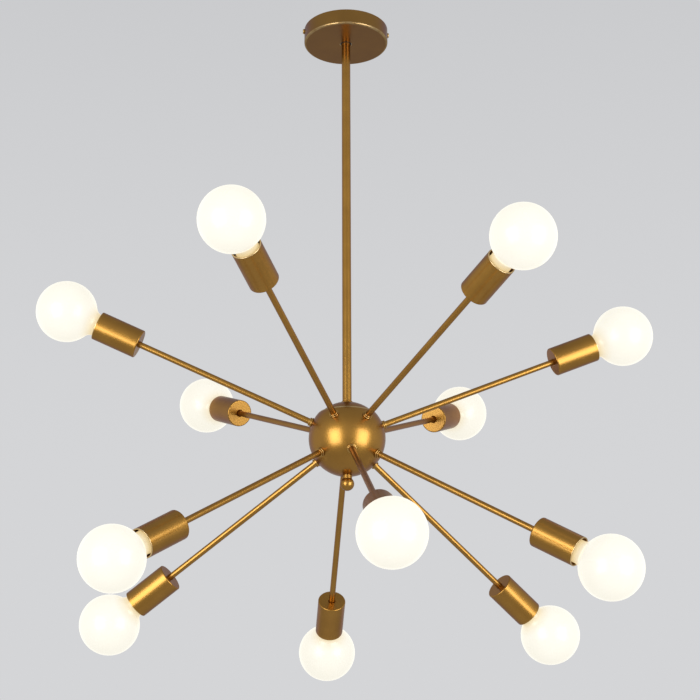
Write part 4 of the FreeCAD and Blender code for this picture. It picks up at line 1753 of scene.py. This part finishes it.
@dataclass
class Studio:
    """A pale floor and surroundings, with two tall soft lamps in front of the light."""

    hub_centre: Vector
    floor_drop: float = 4.8
    floor_radius: float = 16.0
    floor_thickness: float = 0.02
    floor_round: float = 0.01
    horizon: Colour = (0.66, 0.665, 0.68)
    overhead: Colour = (0.43, 0.435, 0.45)
    fade: tuple[float, float] = (0.25, 1.0)
    ambient: float = 0.24
    lamp_distance: float = 2.4
    lamp_size: tuple[float, float] = (1.5, 1.85)
    lamp_power: float = 38.0
    lamp_lift: float = math.radians(-8)
    lamp_turns: tuple[float, float] = (math.radians(-43), math.radians(42))

    def build(self) -> None:
        """Build the floor, the lamps and the surroundings."""
        foot = -self.floor_thickness
        outline = (Outline().corner(foot, 0).corner(foot, self.floor_radius)
                   .corner(0, self.floor_radius, self.floor_round).corner(0, 0))
        floor = Draft().turn(Axis(Vector((0, 0, -self.floor_drop)), Vector((0, 0, 1))), outline, 96)
        floor.piece("studio_floor", PaleFloor().material())
        for number, turn in enumerate(self.lamp_turns, 1):
            self._lamp(f"soft_lamp_{number}", turn)
        self._surroundings()

    def _lamp(self, name: str, turn: float) -> None:
        """One tall soft lamp, aimed at the ball.

        Args:
            name: its name.
            turn: how far round from straight in front it stands.
        """
        away = Vector((math.sin(turn) * math.cos(self.lamp_lift), -math.cos(turn) * math.cos(self.lamp_lift),
                       math.sin(self.lamp_lift)))
        lamp = bpy.data.lights.new(name, "AREA")
        lamp.shape = "RECTANGLE"
        lamp.size, lamp.size_y = self.lamp_size
        lamp.energy = self.lamp_power
        stand = bpy.data.objects.new(name, lamp)
        stand.location = self.hub_centre + away * self.lamp_distance
        stand.rotation_euler = away.to_track_quat("Z", "Y").to_euler()
        stand.visible_camera = False
        bpy.context.scene.collection.objects.link(stand)

    def _surroundings(self) -> None:
        """Pale surroundings that are seen and mirrored, and a plainer light that falls on everything."""
        world = bpy.data.worlds.new("pale_surroundings")
        bpy.context.scene.world = world
        world.use_nodes = True
        graph = ShaderGraph(world.node_tree)
        way = graph.add("ShaderNodeTexCoord").outputs["Generated"]
        height = Signal(graph, graph.add("ShaderNodeSeparateXYZ", None, {0: way}).outputs["Z"])
        backdrop = graph.tinted(height.ramped(*self.fade), self.horizon, self.overhead)
        plain = (self.ambient, self.ambient, self.ambient)
        colour = graph.tinted(graph.straight_rays(), plain, backdrop)
        light = graph.add("ShaderNodeBackground", None, {"Color": colour, "Strength": 1.0})
        graph.add("ShaderNodeOutputWorld", None, {"Surface": light.outputs[0]})


@dataclass
class Viewpoint:
    """The camera, placed by where it sees the ball's centre: to_hub is right, down and ahead of it."""

    hub_centre: Vector
    turn: float = math.radians(6)
    pitch: float = math.radians(20.31)
    roll: float = math.radians(-0.21)
    to_hub: tuple[float, float, float] = (-0.00372, 0.11491, 2.39419)
    lens: float = 94.86

    def build(self) -> bpy.types.Object:
        """Place the camera and make it the scene's own.

        Returns:
            The camera.
        """
        level = Vector((math.sin(self.turn), math.cos(self.turn), 0))
        across = Vector((level.y, -level.x, 0))
        ahead = level * math.cos(self.pitch) + Vector((0, 0, math.sin(self.pitch)))
        down = ahead.cross(across)
        right = across * math.cos(self.roll) - down * math.sin(self.roll)
        below = across * math.sin(self.roll) + down * math.cos(self.roll)
        place = self.hub_centre - right * self.to_hub[0] - below * self.to_hub[1] - ahead * self.to_hub[2]
        lens = bpy.data.cameras.new("view")
        lens.lens = self.lens
        camera = bpy.data.objects.new("view", lens)
        turned = Matrix((right, -below, -ahead)).transposed()
        camera.matrix_world = Matrix.Translation(place) @ turned.to_4x4()
        bpy.context.scene.collection.objects.link(camera)
        bpy.context.scene.camera = camera
        return camera


def ball_centre() -> Vector:
    """Find the ball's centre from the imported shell's box and the hole in its foot.

    Returns:
        The centre.
    """
    low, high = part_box("hub_ball")
    radius = (high.x - low.x) / 2
    rise = math.sqrt(radius ** 2 - Hub.rod_hole ** 2)
    return Vector(((low.x + high.x) / 2, (low.y + high.y) / 2, low.z + rise))


def arm_axes(centre: Vector) -> list[Axis]:
    """Each arm's axis, out from the ball along the way that its bulb is drawn.

    Args:
        centre: the ball's centre.

    Returns:
        The axes, in the order of the arms' numbers.
    """
    slides = (joint for joint in frame["joints"] if joint["type"] == "slide")
    draws = sorted(slides, key=lambda joint: joint["name"])
    return [Axis(centre, Vector(joint["axis"]).normalized()) for joint in draws]


def main() -> None:
    """Build the light, its studio and its camera."""
    logging.basicConfig(level=logging.INFO, format="%(message)s")
    centre = ball_centre()
    axes = arm_axes(centre)
    finishes = Finishes()
    parts = (Canopy(finishes), Stem(finishes, centre), Hub(finishes, centre, axes),
             ArmSet(finishes, axes), BulbSet(finishes, axes))
    for part in parts:
        for piece in part.build():
            log.info("%s: %s, %d faces", type(part).__name__, piece.name, len(piece.data.polygons))
    Studio(centre).build()
    Viewpoint(centre).build()
    bpy.context.scene.view_settings.view_transform = "Standard"


if __name__ == "__main__":
    main()
